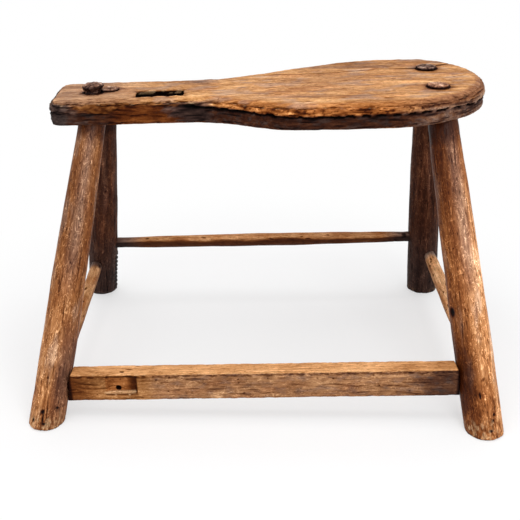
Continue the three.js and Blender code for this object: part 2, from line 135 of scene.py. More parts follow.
def noise(points, salt):
    """Smooth noise from about -1 to 1 that changes over a distance of about 1."""
    cells = np.floor(points)
    inside = points - cells
    cells = cells.astype(np.int64)
    ease = inside ** 3 * (inside * (inside * 6 - 15) + 10)
    total = np.zeros(len(points))
    for corner in CORNERS:
        way = DIRECTIONS[hashed(cells + corner, salt) % len(DIRECTIONS)]
        share = np.where(corner, ease, 1 - ease).prod(axis=1)
        total += share * ((inside - corner) * way).sum(axis=1)
    return total


def noise_along(distance, length, salt):
    """Noise that changes in one direction only, over about the length given."""
    line = np.stack([distance, *(np.full_like(distance, place) for place in NOISE_LINE)], axis=1)
    return noise(line / length, salt)


def fractal(points, octaves, salt):
    """Noise with finer and weaker noise added to it."""
    total = np.zeros(len(points))
    for octave in range(octaves):
        total += noise(points * 2 ** octave + OCTAVE_SHIFT * octave, salt + octave) / 2 ** octave
    return total


def smooth(low, high, value):
    """0 below low and 1 above high, with an eased step between, or the other way round if low is higher."""
    share = np.clip((value - low) / (high - low), 0, 1)
    return share * share * (3 - 2 * share)


def bell(value, width):
    """1 at 0, falling away to nothing at about twice the width."""
    return np.exp(-(value / width) ** 2)


def between(value, low, high, edge):
    """1 from low to high, fading to 0 over the edge beyond either."""
    return smooth(low - edge, low, value) * (1 - smooth(high, high + edge, value))


def oval(lengthwise, crosswise, place, sharpness=1):
    """1 in the middle of an oval and nothing at about twice its half sizes, or nearer where it is sharper.

    The place is the oval's middle, lengthwise and crosswise, and then its half length and half width.
    """
    middle_length, middle_cross, half_length, half_width = place
    ahead = (lengthwise - middle_length) / half_length
    aside = (crosswise - middle_cross) / half_width
    return bell(np.hypot(ahead, aside) ** sharpness, 1)


def strewn(lengthwise, crosswise, count, area, length, width, salt, turn=None):
    """Many spindle-shaped marks strewn over an area, 1 at the middle of each and 0 between them.

    The area is ((from, to), (from, to)), length and width give the least and greatest half sizes, and turn
    is the distance round a pole, for a surface that closes on itself.
    """
    random = np.random.default_rng(salt + SEED)
    marks = np.zeros(len(lengthwise))
    for _ in range(count):
        middle = [random.uniform(*side) for side in area]
        half_length = random.uniform(*length)
        half_width = random.uniform(*width)
        lean = random.uniform(-LEAN, LEAN)
        ahead = lengthwise - middle[0]
        aside = crosswise - middle[1] - lean * ahead
        if turn is not None:
            aside = (aside + turn / 2) % turn - turn / 2
        near = np.abs(ahead) < half_length
        taper = 1 - (ahead[near] / half_length) ** 2
        spread = half_width * np.sqrt(taper) + LEAST_WIDTH
        marks[near] = np.maximum(marks[near], taper * bell(aside[near], spread))
    return marks


# Surfaces

MARKS = ("tone", "warm", "grey", "pale", "crack", "ripple")


class Skin:
    """The surface of one piece as arrays: points and normals, in millimetres, and the marks on them.

    The tone mark says how deep the wood's colour is, and adds up. Each other mark keeps its strongest value.
    """

    def __init__(self, node, net):
        self.node = node
        self.mesh = fine_mesh(node, net * (1))
        count = len(self.mesh.vertices)
        self.points = read(self.mesh.vertices, "co", count) / MM
        self.normals = read(self.mesh.vertices, "normal", count)
        self.grain = self.points
        self.height = np.zeros(count)
        self.marks = {name: np.zeros(count) for name in MARKS}

    def figure(self, length, width, octaves, salt):
        """Fractal noise drawn out along the grain, in patches of about the length and width given."""
        return fractal(self.grain / np.array([length, width, width]), octaves, salt)

    def lift(self, amount):
        self.height += amount

    def deepen(self, amount):
        self.marks["tone"] += amount

    def mark(self, name, amount):
        self.marks[name] = np.maximum(self.marks[name], np.clip(amount, 0, 1))

    def sink(self, marks, depth, tone=0.0, crack=0.0):
        """Sinks marks into the surface, and gives them a deeper tone or the darkness of a crack."""
        self.lift(-depth * marks)
        self.deepen(tone * marks)
        self.mark("crack", crack * marks)

    def place(self, name, slot, finish):
        """Writes the net back, nowhere under the floor, as an object that stands for the CAD node."""
        self.points = self.points + self.normals * self.height[:, None]
        self.points[:, 2] = np.maximum(self.points[:, 2], 0)
        self.mesh.vertices.foreach_set("co", (self.points * MM).astype(np.float32).ravel())
        grain = self.mesh.attributes.new("grain", "FLOAT_VECTOR", "POINT")
        grain.data.foreach_set("vector", self.grain.astype(np.float32).ravel())
        for mark, amount in self.marks.items():
            layer = self.mesh.attributes.new(mark, "FLOAT", "POINT")
            layer.data.foreach_set("value", amount.astype(np.float32))
        self.mesh.update()
        self.mesh.shade_smooth()
        self.mesh.name = name
        piece = bpy.data.objects.new(name, self.mesh)
        bpy.context.scene.collection.objects.link(piece)
        piece.data.materials.clear()
        piece.data.materials.append(finish)
        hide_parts(self.node)
        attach(piece, ROOT)
        return piece


def read(items, name, count):
    values = np.zeros(count * 3, np.float32)
    items.foreach_get(name, values)
    return values.reshape(count, 3).astype(float)


def fine_mesh(node, net):
    """A CAD node's surface as an even net of faces, with its sharp edges a little softened."""
    source = frame["nodes"][node].data.copy()
    solid = bmesh.new()
    solid.from_mesh(source)
    bmesh.ops.remove_doubles(solid, verts=solid.verts, dist=WELD_DISTANCE * MM)
    solid.to_mesh(source)
    solid.free()
    source.materials.clear()
    helper = bpy.data.objects.new("net", source)
    bpy.context.scene.collection.objects.link(helper)
    remesh = helper.modifiers.new("net", "REMESH")
    remesh.mode = "VOXEL"
    remesh.voxel_size = net * MM
    soften = helper.modifiers.new("soften", "SMOOTH")
    soften.factor = SOFTENING
    soften.iterations = SOFTENING_TURNS
    graph = bpy.context.evaluated_depsgraph_get()
    mesh = bpy.data.meshes.new_from_object(helper.evaluated_get(graph))
    bpy.data.objects.remove(helper)
    bpy.data.meshes.remove(source)
    return mesh


# The seat

# Places on it are along from its narrow end, across from the neck's middle line, and up from its top face.
# A pair that smooth takes is where a change starts and where it is complete. The three values that between
# takes are from, to, and how far the change reaches past either.
FACES_UP = (0.6, 0.95)  # how steeply a normal rises, from where its face starts to count as the top
FACES_FRONT = (0.35, 0.1)  # how far a normal points back, from where its face starts to count as the front
NECK_HALF_WIDTH = 58.5
NECK = (250, 222)
WIDE_END = (520, 620)
NARROW_END = (190, 60)  # the top is darker and greyer here
FEW_CHIPS = (540, 610)
BACK_OF_TOP = (85, 140)  # across the seat, where the top is deeper in tone
HEAD_BOTTOM = 1.5  # a tenon's points higher than this belong to its head
HEAD_MARGIN = 9  # the plank's own arris is looked for no nearer to a head than this
# Where marks are strewn: from and to along the seat, and from and to across it or down its sides
TOP_AREA = ((10, 690), (-110, 170))
PADDLE_AREA = ((200, 690), (-110, 170))
SIDE_AREA = ((5, 690), (-38, -4))

ROLL_RADIUS = 15  # how far the worn arris reaches over each face, at the front
ROLL_MIDDLE = 31  # across the seat, the paddle's middle line: in front of it the arris is worn more
ROLLED_START = (250, 300)  # from here on the rolled arris is darker than the top beside it

SPLIT_ALONG = (150, 233, 300, 380, 463, 585, 641, 663, 702)
SPLIT_DEPTH = (-9, -12.9, -16, -19.4, -19.3, -17.4, -18.3, -21.2, -22)
SPLIT_START = (208, 222)
SPLIT_OPEN = (487, 463)  # beyond this the split is a row of separate gouges
GOUGE_START = 233
GOUGE_PITCH = 23.9
GOUGE_STEP = 3.7  # how far apart two gouges are read in the noise that gives each its size and slant

BROW_ALONG = (0, 60, 98, 126, 168, 200, 235)
BROW_DEPTH = (-20, -21, -18, -8, -6, -12, -10)  # how far down the neck's front the light, worn arris reaches
LIP_DARKER = (300, 345)
LIP_WARM = (300, 520, 60)
LIP_EDGE_SHADE = (225, 320, 30)  # where the lip's lower edge, which faces up, is painted in shade
LIP_SPECKS = (300, 600, 30)
RED_SPAN = (112, 194, 24)
CHARRED_SPAN = (204, 250, 18)
BURNT_END = (58, 18)
END_CHECK = (36, 8)
END_CHECK_DEPTH = 19

SHAKE_ALONG = (350, 403, 471, 541, 600, 640, 672)
SHAKE_ACROSS = (77, 77.7, 84.1, 97.4, 98, 112, 128)
SHAKE_SPAN = (365, 670, 20)
SHAKE_WIDER = (560, 600)  # past the rear head

SLOT_ALONG = (138, 212)
SLOT_ACROSS = (-35, -5)
SLOT_MARGINS = (9, 15)  # nearer to the slot, along and across, is no arris of the plank's own

# Oval places: along and across the seat, half length and half width. A smudge's tone comes last
SMUDGES = (
    (238, 46, 24, 15, 0.8),
    (380, -58, 60, 9, 0.4),
    (480, 118, 120, 9, 0.35),
    (70, 42, 46, 12, 0.35),
    (430, 20, 100, 60, 0.11),
)
HEARTWOOD = ((385, -20, 60, 20), (515, 18, 26, 26), (126, -11, 18, 11.25))
POLISHED = (285, -5, 62, 55)
BARE_CHIP = (229, -4.5, 8, 2.5)  # along the front and up it, beside the start of the split


def seat_grain(points):
    """Places on the seat: along it from the narrow end, across it, and up from its top face."""
    return (points - SEAT_ORIGIN) @ np.stack([SEAT_ALONG, SEAT_ACROSS, SEAT_UP], axis=1)


def head_centre(node):
    """Where the middle of a tenon's head is, along and across the seat, and its radius."""
    corners = np.array([corner.co for corner in frame["nodes"][node].data.vertices]) / MM
    places = seat_grain(corners)
    head = places[places[:, 2] > HEAD_BOTTOM]
    return (head[:, :2].min(axis=0) + head[:, :2].max(axis=0)) / 2, np.ptp(head[:, 1]) / 2


class SeatZones:
    """How much of each point belongs to which part of the plank, and the figure that breaks up its colours.

    The lip is the lighter strip of the front that lies above the split or, on the neck, above the brow, which
    is the ragged lower border of the worn arris there.
    """

    def __init__(self, skin):
        along, across, depth = skin.grain.T
        self.up = skin.normals @ SEAT_UP
        self.top = smooth(*FACES_UP, self.up)
        self.under = smooth(*FACES_UP, -self.up)
        self.side = 1 - self.top - self.under
        self.front = self.side * smooth(*FACES_FRONT, skin.normals[:, 1])
        self.inset = arris_inset(skin, self.up)
        self.cloud = skin.figure(52, 22, 3, 61)
        self.ragged = skin.figure(24, 8, 3, 67)
        self.jagged = skin.figure(15, 5, 3, 71)
        self.wide_end = smooth(*WIDE_END, along)
        self.neck = smooth(*NECK, along)
        brow_line = np.interp(along, BROW_ALONG, BROW_DEPTH) + 5 * skin.figure(34, 12, 3, 79)
        self.above_brow = depth - brow_line - 3 * self.jagged
        self.above_split = depth - np.interp(along, SPLIT_ALONG, SPLIT_DEPTH)
        self.neck_lip = self.front * self.neck * smooth(-1.5, 1.5, self.above_brow)
        self.lip = self.neck_lip + self.front * (1 - self.neck) * smooth(0, 4, self.above_split)
        self.below = self.front - self.lip
        self.rolled = smooth(*ROLLED_START, along) * smooth(20, -10, across - ROLL_MIDDLE)
        self.rolled *= smooth(16, 6, self.inset)
        self.red = between(along + 10 * self.cloud, *RED_SPAN)
        self.charred = between(along + 30 * self.ragged + 20 * self.cloud, *CHARRED_SPAN)
        self.burnt_end = smooth(*BURNT_END, along + 22 * self.ragged)


def seat_plank():
    skin = Skin("seat", SEAT_NET)
    skin.grain = seat_grain(skin.points)
    zones = SeatZones(skin)
    wear_faces(skin, zones)
    roll_arris(skin, zones)
    chip_arrises(skin, zones)
    split_front(skin, zones)
    shake_top(skin, zones)
    fray_slot(skin)
    shade_round_heads(skin, zones)
    tone_top(skin, zones)
    smudge_top(skin, zones)
    redden_top(skin, zones)
    tone_lip(skin, zones)
    scorch_front(skin, zones)
    break_brow(skin, zones)
    speck_lip(skin, zones)
    tone_other_faces(skin, zones)
    check_narrow_end(skin, zones)
    return skin.place("seat_plank", "seat_wood", SEAT_FINISH)


def arris_inset(skin, up):
    """How far each point is from the plank's top arris: across the top, or down the side."""
    along, across, depth = skin.grain.T
    outside_along, outside_across = outside_slot(skin)
    arris = (up > 0.3) & (up < 0.8)
    arris &= (outside_along > SLOT_MARGINS[0]) | (outside_across > SLOT_MARGINS[1])
    for node in LEG_SPLAY:
        (middle_along, middle_across), radius = head_centre(node)
        arris &= np.hypot(along - middle_along, across - middle_across) > radius + HEAD_MARGIN
    tree = kdtree.KDTree(int(arris.sum()))
    for number, (place_along, place_across, _) in enumerate(skin.grain[arris]):
        tree.insert((place_along, place_across, 0), number)
    tree.balance()
    inset = -depth
    for number in np.flatnonzero(up > 0.5):
        inset[number] = tree.find((along[number], across[number], 0))[2]
    return inset


def outside_slot(skin):
    """How far outside the slot's walls each point is, along the seat and across it."""
    along, across = skin.grain[:, :2].T
    outside_along = np.maximum(SLOT_ALONG[0] - along, along - SLOT_ALONG[1])
    outside_across = np.maximum(SLOT_ACROSS[0] - across, across - SLOT_ACROSS[1])
    return outside_along, outside_across


def wear_faces(skin, zones):
    """Broad hollows, raised fibres on the top, torn grain on the sides, and nicks from the work."""
    along, across, depth = skin.grain.T
    broad = skin.figure(85, 85, 2, 11)
    fibres = skin.figure(46, 3.6, 3, 13)
    torn = skin.figure(26, 6, 3, 17) * (1 - 0.55 * zones.wide_end * zones.side)
    skin.lift(zones.top * (0.7 * broad + 0.26 * fibres))
    skin.lift(zones.side * (0.8 * broad + 1.3 * torn))
    skin.lift(zones.under * (0.9 * broad + 0.4 * torn))
    skin.deepen(0.7 * zones.side * torn)
    nicks = strewn(along, across, 90, TOP_AREA, (2, 8), (0.8, 1.6), 19)
    skin.sink(nicks * zones.top, 0.7, tone=0.9)
    gashes = strewn(along, depth, 110, SIDE_AREA, (6, 26), (0.4, 1.0), 21)
    skin.sink(gashes * zones.side, 1.2, crack=0.55)


def roll_arris(skin, zones):
    """The top arris, worn round and dented, most of all along the front."""
    along, across = skin.grain[:, :2].T
    front = smooth(30, -30, across - ROLL_MIDDLE) * smooth(-2, 14, along)
    dents = skin.figure(24, 14, 2, 27)
    reach = ROLL_RADIUS * (0.6 + 0.5 * front + 0.5 * dents)
    skin.lift(-(2.2 + 2.6 * front) * np.clip(1 - zones.inset / reach, 0, 1) ** 2)


def chip_arrises(skin, zones):
    """Takes chips out of the long edges and leaves splinters of bare wood between them."""
    slope = np.abs(zones.up)
    edge = smooth(0.1, 0.35, slope) * smooth(0.995, 0.85, slope)
    edge *= 1 - 0.6 * smooth(*FEW_CHIPS, skin.grain[:, 0])
    chips = smooth(0.1, 0.55, skin.figure(19, 9, 3, 23))
    small = smooth(0.1, 0.5, skin.figure(8, 4, 2, 29))
    skin.lift(-edge * (2.2 * chips + small))
    skin.deepen(edge * (0.7 * chips - 0.3 * small * (1 - chips)))
    splinters = smooth(0.35, 0.6, skin.figure(9, 4, 2, 30))
    skin.mark("pale", 0.35 * edge * splinters * (zones.up > 0))


def split_front(skin, zones):
    """The long split in the front side: an open crack, then a row of gouges, under a bulging lip."""
    along = skin.grain[:, 0]
    gouge, size, slant = gouge_row(along)
    wander = 1.3 * noise_along(along, 11, 31) + 0.9 * noise_along(along, 4.5, 33)
    gap = zones.above_split - wander - slant
    reach = smooth(*SPLIT_START, along) * zones.front
    open_part = smooth(*SPLIT_OPEN, along)
    strength = np.maximum(gouge, (0.85 + 0.15 * noise_along(along, 16, 35)) * open_part)
    strength = np.maximum(strength, 0.4 * smooth(0.0, 0.4, noise_along(along, 20, 34)))
    half_width = 0.35 + 1.1 * gouge * size + 0.7 * open_part * (0.3 + noise_along(along, 9, 36))
    crack = smooth(half_width + 1.2, half_width, np.abs(gap)) * strength * reach
    skin.lift(-crack * (1.8 + 2.8 * gouge))
    skin.lift(reach * (1.2 * bell(gap - 5.5, 4) - 1.1 * smooth(0, -3, gap) * smooth(-21, -8, gap)))
    skin.mark("crack", 1.2 * crack)
    skin.deepen(0.4 * reach * bell(gap + 3, 3) * (1 - crack))


def gouge_row(along):
    """How deep in a gouge each place along the seat is, how large it is, and how far it slants there."""
    phase = (along - GOUGE_START + 5 * noise_along(along, 60, 37)) / GOUGE_PITCH
    number = np.round(phase)
    offset = (phase - number) * GOUGE_PITCH
    own = np.stack([number * GOUGE_STEP, number * 0 + 0.4, number * 0 + 0.7], axis=1)
    size = 0.5 + 0.5 * noise(own, 45)
    gouge = smooth(7 + 5 * size, 3 + 4 * size, np.abs(offset) + 2.5 * noise_along(along, 6, 39))
    return gouge, size, (0.16 * noise(own, 46) - 0.06) * offset * gouge


def shake_top(skin, zones):
    """The hairline shake in the top, wider where it runs past the rear head."""
    along, across = skin.grain[:, :2].T
    gap = across - np.interp(along, SHAKE_ALONG, SHAKE_ACROSS) - 1.2 * skin.figure(22, 22, 1, 41)
    wider = smooth(*SHAKE_WIDER, along)
    strength = between(along, *SHAKE_SPAN) * (0.6 + 0.4 * wider + 0.4 * skin.figure(30, 30, 1, 43))
    skin.sink(bell(gap, 1.2 + 0.8 * wider) * strength * zones.top, 1.3, crack=1.1)


def fray_slot(skin):
    """Ragged, chipped edges round the mouth of the slot, and painted shade inside it."""
    across, depth = skin.grain[:, 1:].T
    outside = np.maximum(*outside_slot(skin))
    mouth = bell(outside, 4) * smooth(-10, -2, depth)
    ragged = skin.figure(13, 7, 3, 47)
    skin.lift(mouth * (2.2 * ragged - 0.6))
    behind = smooth(SLOT_ACROSS[1] - 4, SLOT_ACROSS[1] + 1, across) * smooth(0.1, 0.4, ragged)
    skin.mark("pale", 0.6 * mouth * behind * smooth(-7, -3, depth))
    skin.deepen(0.8 * bell(outside, 6) * smooth(0.2, -0.3, ragged) * smooth(-3, 0, depth))
    # painted shade: the slot's inside is marked dark
    inside = smooth(2.0, 0.6, outside) * smooth(-0.6, -3.2, depth - 1.5 * ragged)
    skin.mark("crack", 0.95 * inside)


def shade_round_heads(skin, zones):
    """Painted shadow in the seams round the four tenon heads, and a ring of painted shade round each."""
    along, across = skin.grain[:, :2].T
    for salt, node in enumerate(LEG_SPLAY):
        (middle_along, middle_across), radius = head_centre(node)
        away = np.hypot(along - middle_along, across - middle_across)
        rough = 1.8 * skin.figure(6, 6, 2, 53 + salt)
        skin.mark("crack", smooth(radius + 2.6, radius - 0.5, away + rough) * zones.top)
        skin.deepen(0.6 * bell(away - radius - 2, 5) * zones.top)


def tone_top(skin, zones):
    """Clouds and bands of tone, worn varnish and polish on the top, dashes in it, and painted shade on its
    back rim, where it turns away.
    """
    along, across = skin.grain[:, :2].T
    bands = skin.figure(150, 19, 2, 75)
    narrow = smooth(*NARROW_END, along + 30 * zones.cloud)
    skin.deepen(zones.top * (0.1 + 0.22 * zones.cloud + 0.35 * bands + 0.25 * smooth(*BACK_OF_TOP, across)))
    skin.deepen(zones.top * (0.2 * narrow - 0.16 * oval(along, across, POLISHED)))
    skin.mark("grey", zones.top * np.maximum(0.35 * smooth(0.0, 0.5, zones.cloud), 0.28 * narrow))
    skin.mark("ripple", 0.25 * zones.top)
    dashes = strewn(along, across, 150, PADDLE_AREA, (3, 13), (0.5, 0.9), 69)
    skin.sink(dashes * zones.top, 0.35, tone=1.1)
    # painted shade where the top rolls over toward the back
    skin.deepen(0.5 * smooth(0.97, 0.6, zones.up) * smooth(0.05, 0.4, skin.normals[:, 1]))


def smudge_top(skin, zones):
    """Grey, dirty places on the top."""
    along, across = skin.grain[:, :2].T
    for *place, tone in SMUDGES:
        smudge = zones.top * oval(along, across, place)
        skin.deepen(tone * smudge * (1 + 0.8 * zones.ragged))
        skin.mark("grey", 0.6 * tone * smudge)


def redden_top(skin, zones):
    """Redder wood on the top, in its heartwood and in faint patches all over."""
    along, across = skin.grain[:, :2].T
    heartwood = sum(oval(along, across, place) for place in HEARTWOOD)
    skin.mark("warm", 0.7 * zones.top * heartwood * smooth(-0.2, 0.4, zones.ragged))
    skin.mark("warm", 0.45 * zones.top * smooth(0.1, 0.5, skin.figure(70, 20, 2, 73)))


def tone_lip(skin, zones):
    """The lip, darker toward its lower edge, partly as painted shade, and toward its burnt end, and the
    rolled arris over it, greyed at the wide end by a painted sheen.
    """
    along, depth = skin.grain[:, ::2].T
    lip = zones.lip
    wide_end = zones.wide_end
    neck = 0.4 * zones.neck * (1 + 1.6 * smooth(-7, -19, depth))
    skin.deepen(lip * (-0.1 + neck + 0.35 * smooth(*LIP_DARKER, along)))
    skin.deepen(lip * 0.55 * zones.ragged * (1 - 0.7 * wide_end))
    skin.deepen(lip * (0.3 * zones.red + 0.9 * zones.burnt_end + 0.1 * wide_end))
    skin.deepen(lip * 0.9 * zones.charred * smooth(-3, -8, depth))
    skin.deepen(lip * 0.45 * smooth(-8, -12, depth) * between(along, *LIP_EDGE_SHADE))
    skin.mark("warm", lip * between(along, *LIP_WARM))
    skin.deepen((0.26 + 0.24 * wide_end) * zones.rolled)
    skin.mark("warm", 0.7 * zones.rolled * (1 - 0.3 * wide_end))
    # a painted sheen on the rolled arris at the wide end
    skin.mark("grey", 0.2 * zones.rolled * wide_end)


def scorch_front(skin, zones):
    """The dark front under the lip, red and charred on the neck, grey at the narrow end, and lighter and grey
    at the wide end, partly a painted sheen.
    """
    # the wide end's front is painted lighter, part of a painted sheen
    tone = 2.1 - 0.55 * zones.red + 0.3 * zones.charred - 0.05 * zones.burnt_end - 1.2 * zones.wide_end
    skin.deepen(zones.below * (tone + 0.35 * zones.cloud))
    skin.mark("warm", zones.below * (0.05 + 0.75 * zones.red) * (1 - zones.burnt_end))
    skin.mark("grey", (zones.side - 0.4 * zones.lip) * np.maximum(1.4 * zones.burnt_end, 0.7 * zones.charred))
    grey_and_sheen_end = (0.45 + 0.35 * zones.ragged) * zones.wide_end
    skin.mark("grey", (zones.side - zones.rolled * zones.front) * grey_and_sheen_end)
    skin.mark("grey", zones.below * (1 - zones.red) * (0.18 + 0.5 * smooth(0, 0.4, zones.jagged)))


def break_brow(skin, zones):
    """Scales lifting from the neck's worn arris, and the broken edge that it ends in."""
    scales = smooth(0.26, 0.06, np.abs(skin.figure(21, 8, 1, 80)))
    skin.sink(scales * zones.neck_lip, 1.2, tone=0.75)
    broken_edge = bell(zones.above_brow, 2.4) * smooth(2, 16, skin.grain[:, 0])
    skin.sink(broken_edge * zones.front * zones.neck, 1.3, tone=0.5)


def speck_lip(skin, zones):
    """Dark flecks and specks broken out along the front arris, and a chip with bare wood in it."""
    along, across, depth = skin.grain.T
    flecks = smooth(0.15, 0.4, skin.figure(9, 3, 2, 77)) * zones.neck * bell(depth + 4, 8)
    flecks *= smooth(14 - NECK_HALF_WIDTH, 3 - NECK_HALF_WIDTH, across)
    skin.sink(flecks, 1.0, tone=1.5)
    specks = smooth(0.2, 0.45, skin.figure(7, 3.5, 2, 78)) * zones.lip * between(along, *LIP_SPECKS)
    skin.sink(specks, 0.7, tone=1.1)
    bare_chip = oval(along, depth, BARE_CHIP) * zones.front * smooth(-0.3, 0.2, zones.jagged)
    skin.mark("pale", 0.95 * bare_chip)
    skin.lift(bare_chip)


def tone_other_faces(skin, zones):
    """The ends, the back and the underside, deep in tone and clouded."""
    skin.deepen((zones.side - zones.front) * (1.1 + 0.4 * zones.cloud))
    skin.deepen(zones.under * (1.0 + 0.3 * zones.cloud))


def check_narrow_end(skin, zones):
    """The drying check round the sides of the narrow end."""
    along, depth = skin.grain[:, ::2].T
    check = bell(depth + END_CHECK_DEPTH + 1.5 * zones.ragged, 1.1) * smooth(*END_CHECK, along)
    skin.sink(check * zones.side, 1.8, crack=1.0)


# The legs

# How each leg looks from the front. Left and right are the tones of its two sides, with painted light and
# shade in them:
# the front right leg's outer side is painted light and its inner side painted in shade, and the rear legs'
# deep tones are partly painted shade. High, low, low_right and middle are added at its top, at its low end,
# on the right there and in its middle, and bar_shade is painted shade beside the bar. Warm is all over it,
# dust is grey beside the bar, and scuff is bare wood at its foot.
LEG_LOOKS = {
    "front_left_leg": dict(salt=100, left=0.27, right=0.34, high=0.22, low=0.04, low_right=0.2, middle=0.66,
                           warm=0.3, bar_shade=0.55, dust=0.35, scuff=0.45, rough_head=2.8, head_tone=0.7),
    "rear_left_leg": dict(salt=200, left=1.82, right=1.78, high=-0.1, low=0.56, low_right=0, middle=0,
                          warm=0, bar_shade=0, dust=0, scuff=0.12, rough_head=0.9, head_tone=0.6),
    "front_right_leg": dict(salt=300, left=0.8, right=-0.28, high=0.8, low=-0.08, low_right=0.4, middle=0,
                            warm=0.6, bar_shade=1.4, dust=0, scuff=0.45, rough_head=0.8, head_tone=0.35),
    "rear_right_leg": dict(salt=400, left=1.96, right=1.91, high=-0.1, low=0.42, low_right=0, middle=0,
                           warm=0, bar_shade=0, dust=0, scuff=0.12, rough_head=1.1, head_tone=0.85),
}
# Places are along a leg from the floor, apart from those that say otherwise
LEG_SHOWN = (LEG_LENGTH - 4, LEG_LENGTH - 16)
POLE_NOT_TENON = (16, 20)  # away from the leg's axis
# where a leg goes into the seat, the reach of a ring of painted shade
SHADE_UNDER_SEAT = (LEG_LENGTH - 40, LEG_LENGTH - 14)
LEG_HIGH = (260, 470)
LEG_LOW = (230, 60)
LEG_MIDDLE = 330
LEG_MIDDLE_REACH = 110
REAR_LEG_WARM = (120, 240)
REAR_LEG_GREY = (220, 60)
SHEEN = (180, 300)
SHEEN_ANGLE = -1.35  # round the leg, in radians: the middle of a painted sheen, a grey streak down its front
SHEEN_REACH = 0.4
BAR_RISE = 80  # about how high the front bar meets the legs
BAR_DIRT_REACH = 60
NOTCHED_LEG = "rear_left_leg"
NOTCH_COUNT = 8
NOTCH_PITCH = 12.6
NOTCH_START = 24  # the lowest notch
NOTCH_MARGIN = 6  # how far the notched strip goes on past the first and the last
NOTCH_DEPTH = 4.0
NOTCH_SLOPE = 0.8  # how much each notch sinks toward the back
NOTCH_REACH = math.radians(24)  # how far the notches go round the leg, each way from its inner side
NOTCH_FADE = 0.12
# Holes, knots and cracks on one leg only: along it, degrees round it, half length and half width
LEG_MARKS = {
    "front_left_leg": ((19, -98, 3.2, 3), (8, -95, 9, 0.9), (0, -85, 1.5, 5), (3, -129, 3, 2.5),
                       (28, -52, 1.8, 1.8)),
    "front_right_leg": ((194, -160, 7, 5), (27, -64, 2.2, 2), (18, -70, 1.8, 1.5), (2, -82, 2, 3),
                        (60, -100, 5, 1.2)),
}
SOCKET_RISE = {"left": 442.7, "right": 457.3}  # height of the seat's underside over each pair of feet


def leg_frame(node):
    """A leg's foot, its axis, and the two directions across it that its angles are measured in."""
    foot = np.array(MOUNTS["foot_" + node[:-4]]["pos_m"]) / MM
    splay = LEG_SPLAY[node]
    axis = np.array([-splay[0], -splay[1], SOCKET_RISE[node.split("_")[1]]])
    axis /= np.linalg.norm(axis)
    side = np.array([1.0, 0, 0]) - axis[0] * axis
    side /= np.linalg.norm(side)
    return foot, axis, side, np.cross(axis, side)


def leg_pole(node):
    look = LEG_LOOKS[node]
    skin = Skin(node, LEG_NET)
    foot, axis, side, other = leg_frame(node)
    skin.grain = (skin.points - foot) @ np.stack([axis, side, other], axis=1)
    if node == NOTCHED_LEG:
        recut_notches(skin, side, other)
    along, ahead, aside = skin.grain.T
    angle = np.arctan2(aside, ahead)
    shown = smooth(*LEG_SHOWN, along) * smooth(*POLE_NOT_TENON, np.hypot(ahead, aside))
    shape_pole(skin, angle, shown, look["salt"])
    check_pole(skin, angle, shown, look["salt"])
    tone_pole(skin, angle, look)
    shade_and_dust_pole(skin, look)
    mark_pole(skin, angle, node)
    wear_foot(skin, look["salt"], look["scuff"])
    shape_head(skin, node, look)
    name = node.replace("leg", "pole")
    if node.startswith("front"):
        return skin.place(name, "front_leg_wood", FRONT_LEG_FINISH)
    age_rear_pole(skin, look["salt"])
    return skin.place(name, "rear_leg_wood", REAR_LEG_FINISH)


def recut_notches(skin, side, other):
    """Fills the row of notches and cuts it again at a slope, so that they show in outline as in the photo."""
    along, ahead, aside = skin.grain.T
    radius = np.hypot(ahead, aside)
    last = NOTCH_START + (NOTCH_COUNT - 1) * NOTCH_PITCH
    zone = smooth(NOTCH_REACH + NOTCH_FADE, NOTCH_REACH, np.abs(np.arctan2(aside, ahead)))
    zone *= (radius > POLE_NOT_TENON[1]) * between(along, NOTCH_START - NOTCH_MARGIN, last + NOTCH_MARGIN, 3)
    full = np.percentile(radius[zone > 0.5], 90)
    outward = (ahead[:, None] * side + aside[:, None] * other) / radius[:, None]
    skin.points = skin.points + outward * (zone * (full - radius))[:, None]
    skin.normals = skin.normals + (outward - skin.normals) * zone[:, None]
    level = along + NOTCH_SLOPE * aside * full / radius
    number = np.clip(np.round((level - NOTCH_START) / NOTCH_PITCH), 0, NOTCH_COUNT - 1)
    offset = np.abs(level - NOTCH_START - number * NOTCH_PITCH)
    cut = smooth(4.6, 1.0, offset) * zone
    skin.lift(0.9 * zone - NOTCH_DEPTH * cut)
    skin.deepen(0.8 * (zone - 0.5 * cut))


def shape_pole(skin, angle, shown, salt):
    """Drawknife flats, a slight wobble and torn fibres, and the raised edges of worn varnish."""
    wobble = skin.figure(90, 40, 2, salt + 1)
    flats = np.abs(np.sin(4.5 * angle + 1.5 * skin.figure(120, 120, 1, salt + 2)))
    fibres = skin.figure(34, 3.8, 3, salt + 3)
    skin.lift(shown * (0.9 * wobble - 0.4 * flats + 0.25 * fibres))
    skin.mark("ripple", shown)
    hollows = smooth(0.2, 0.6, skin.figure(30, 6, 2, salt + 7))
    skin.sink(hollows * shown, 0.4, tone=0.35)


def check_pole(skin, angle, shown, salt):
    """Drying checks along the pole, small pits and worm holes, and light scratches."""
    along = skin.grain[:, 0]
    around = angle * POLE_RADIUS
    turn = 2 * math.pi * POLE_RADIUS
    area = ((15, LEG_LENGTH - 30), (-turn / 2, turn / 2))
    checks = strewn(along, around, 26, area, (10, 40), (0.3, 0.6), salt + 11, turn)
    pits = strewn(along, around, 16, area, (1.2, 4), (0.6, 1.1), salt + 12, turn)
    scratches = strewn(along, around, 70, area, (3, 10), (0.4, 0.7), salt + 13, turn)
    skin.lift(-0.8 * shown * (checks + pits))
    skin.mark("crack", shown * (0.55 * checks + 0.6 * pits))
    skin.deepen(-0.7 * shown * scratches)


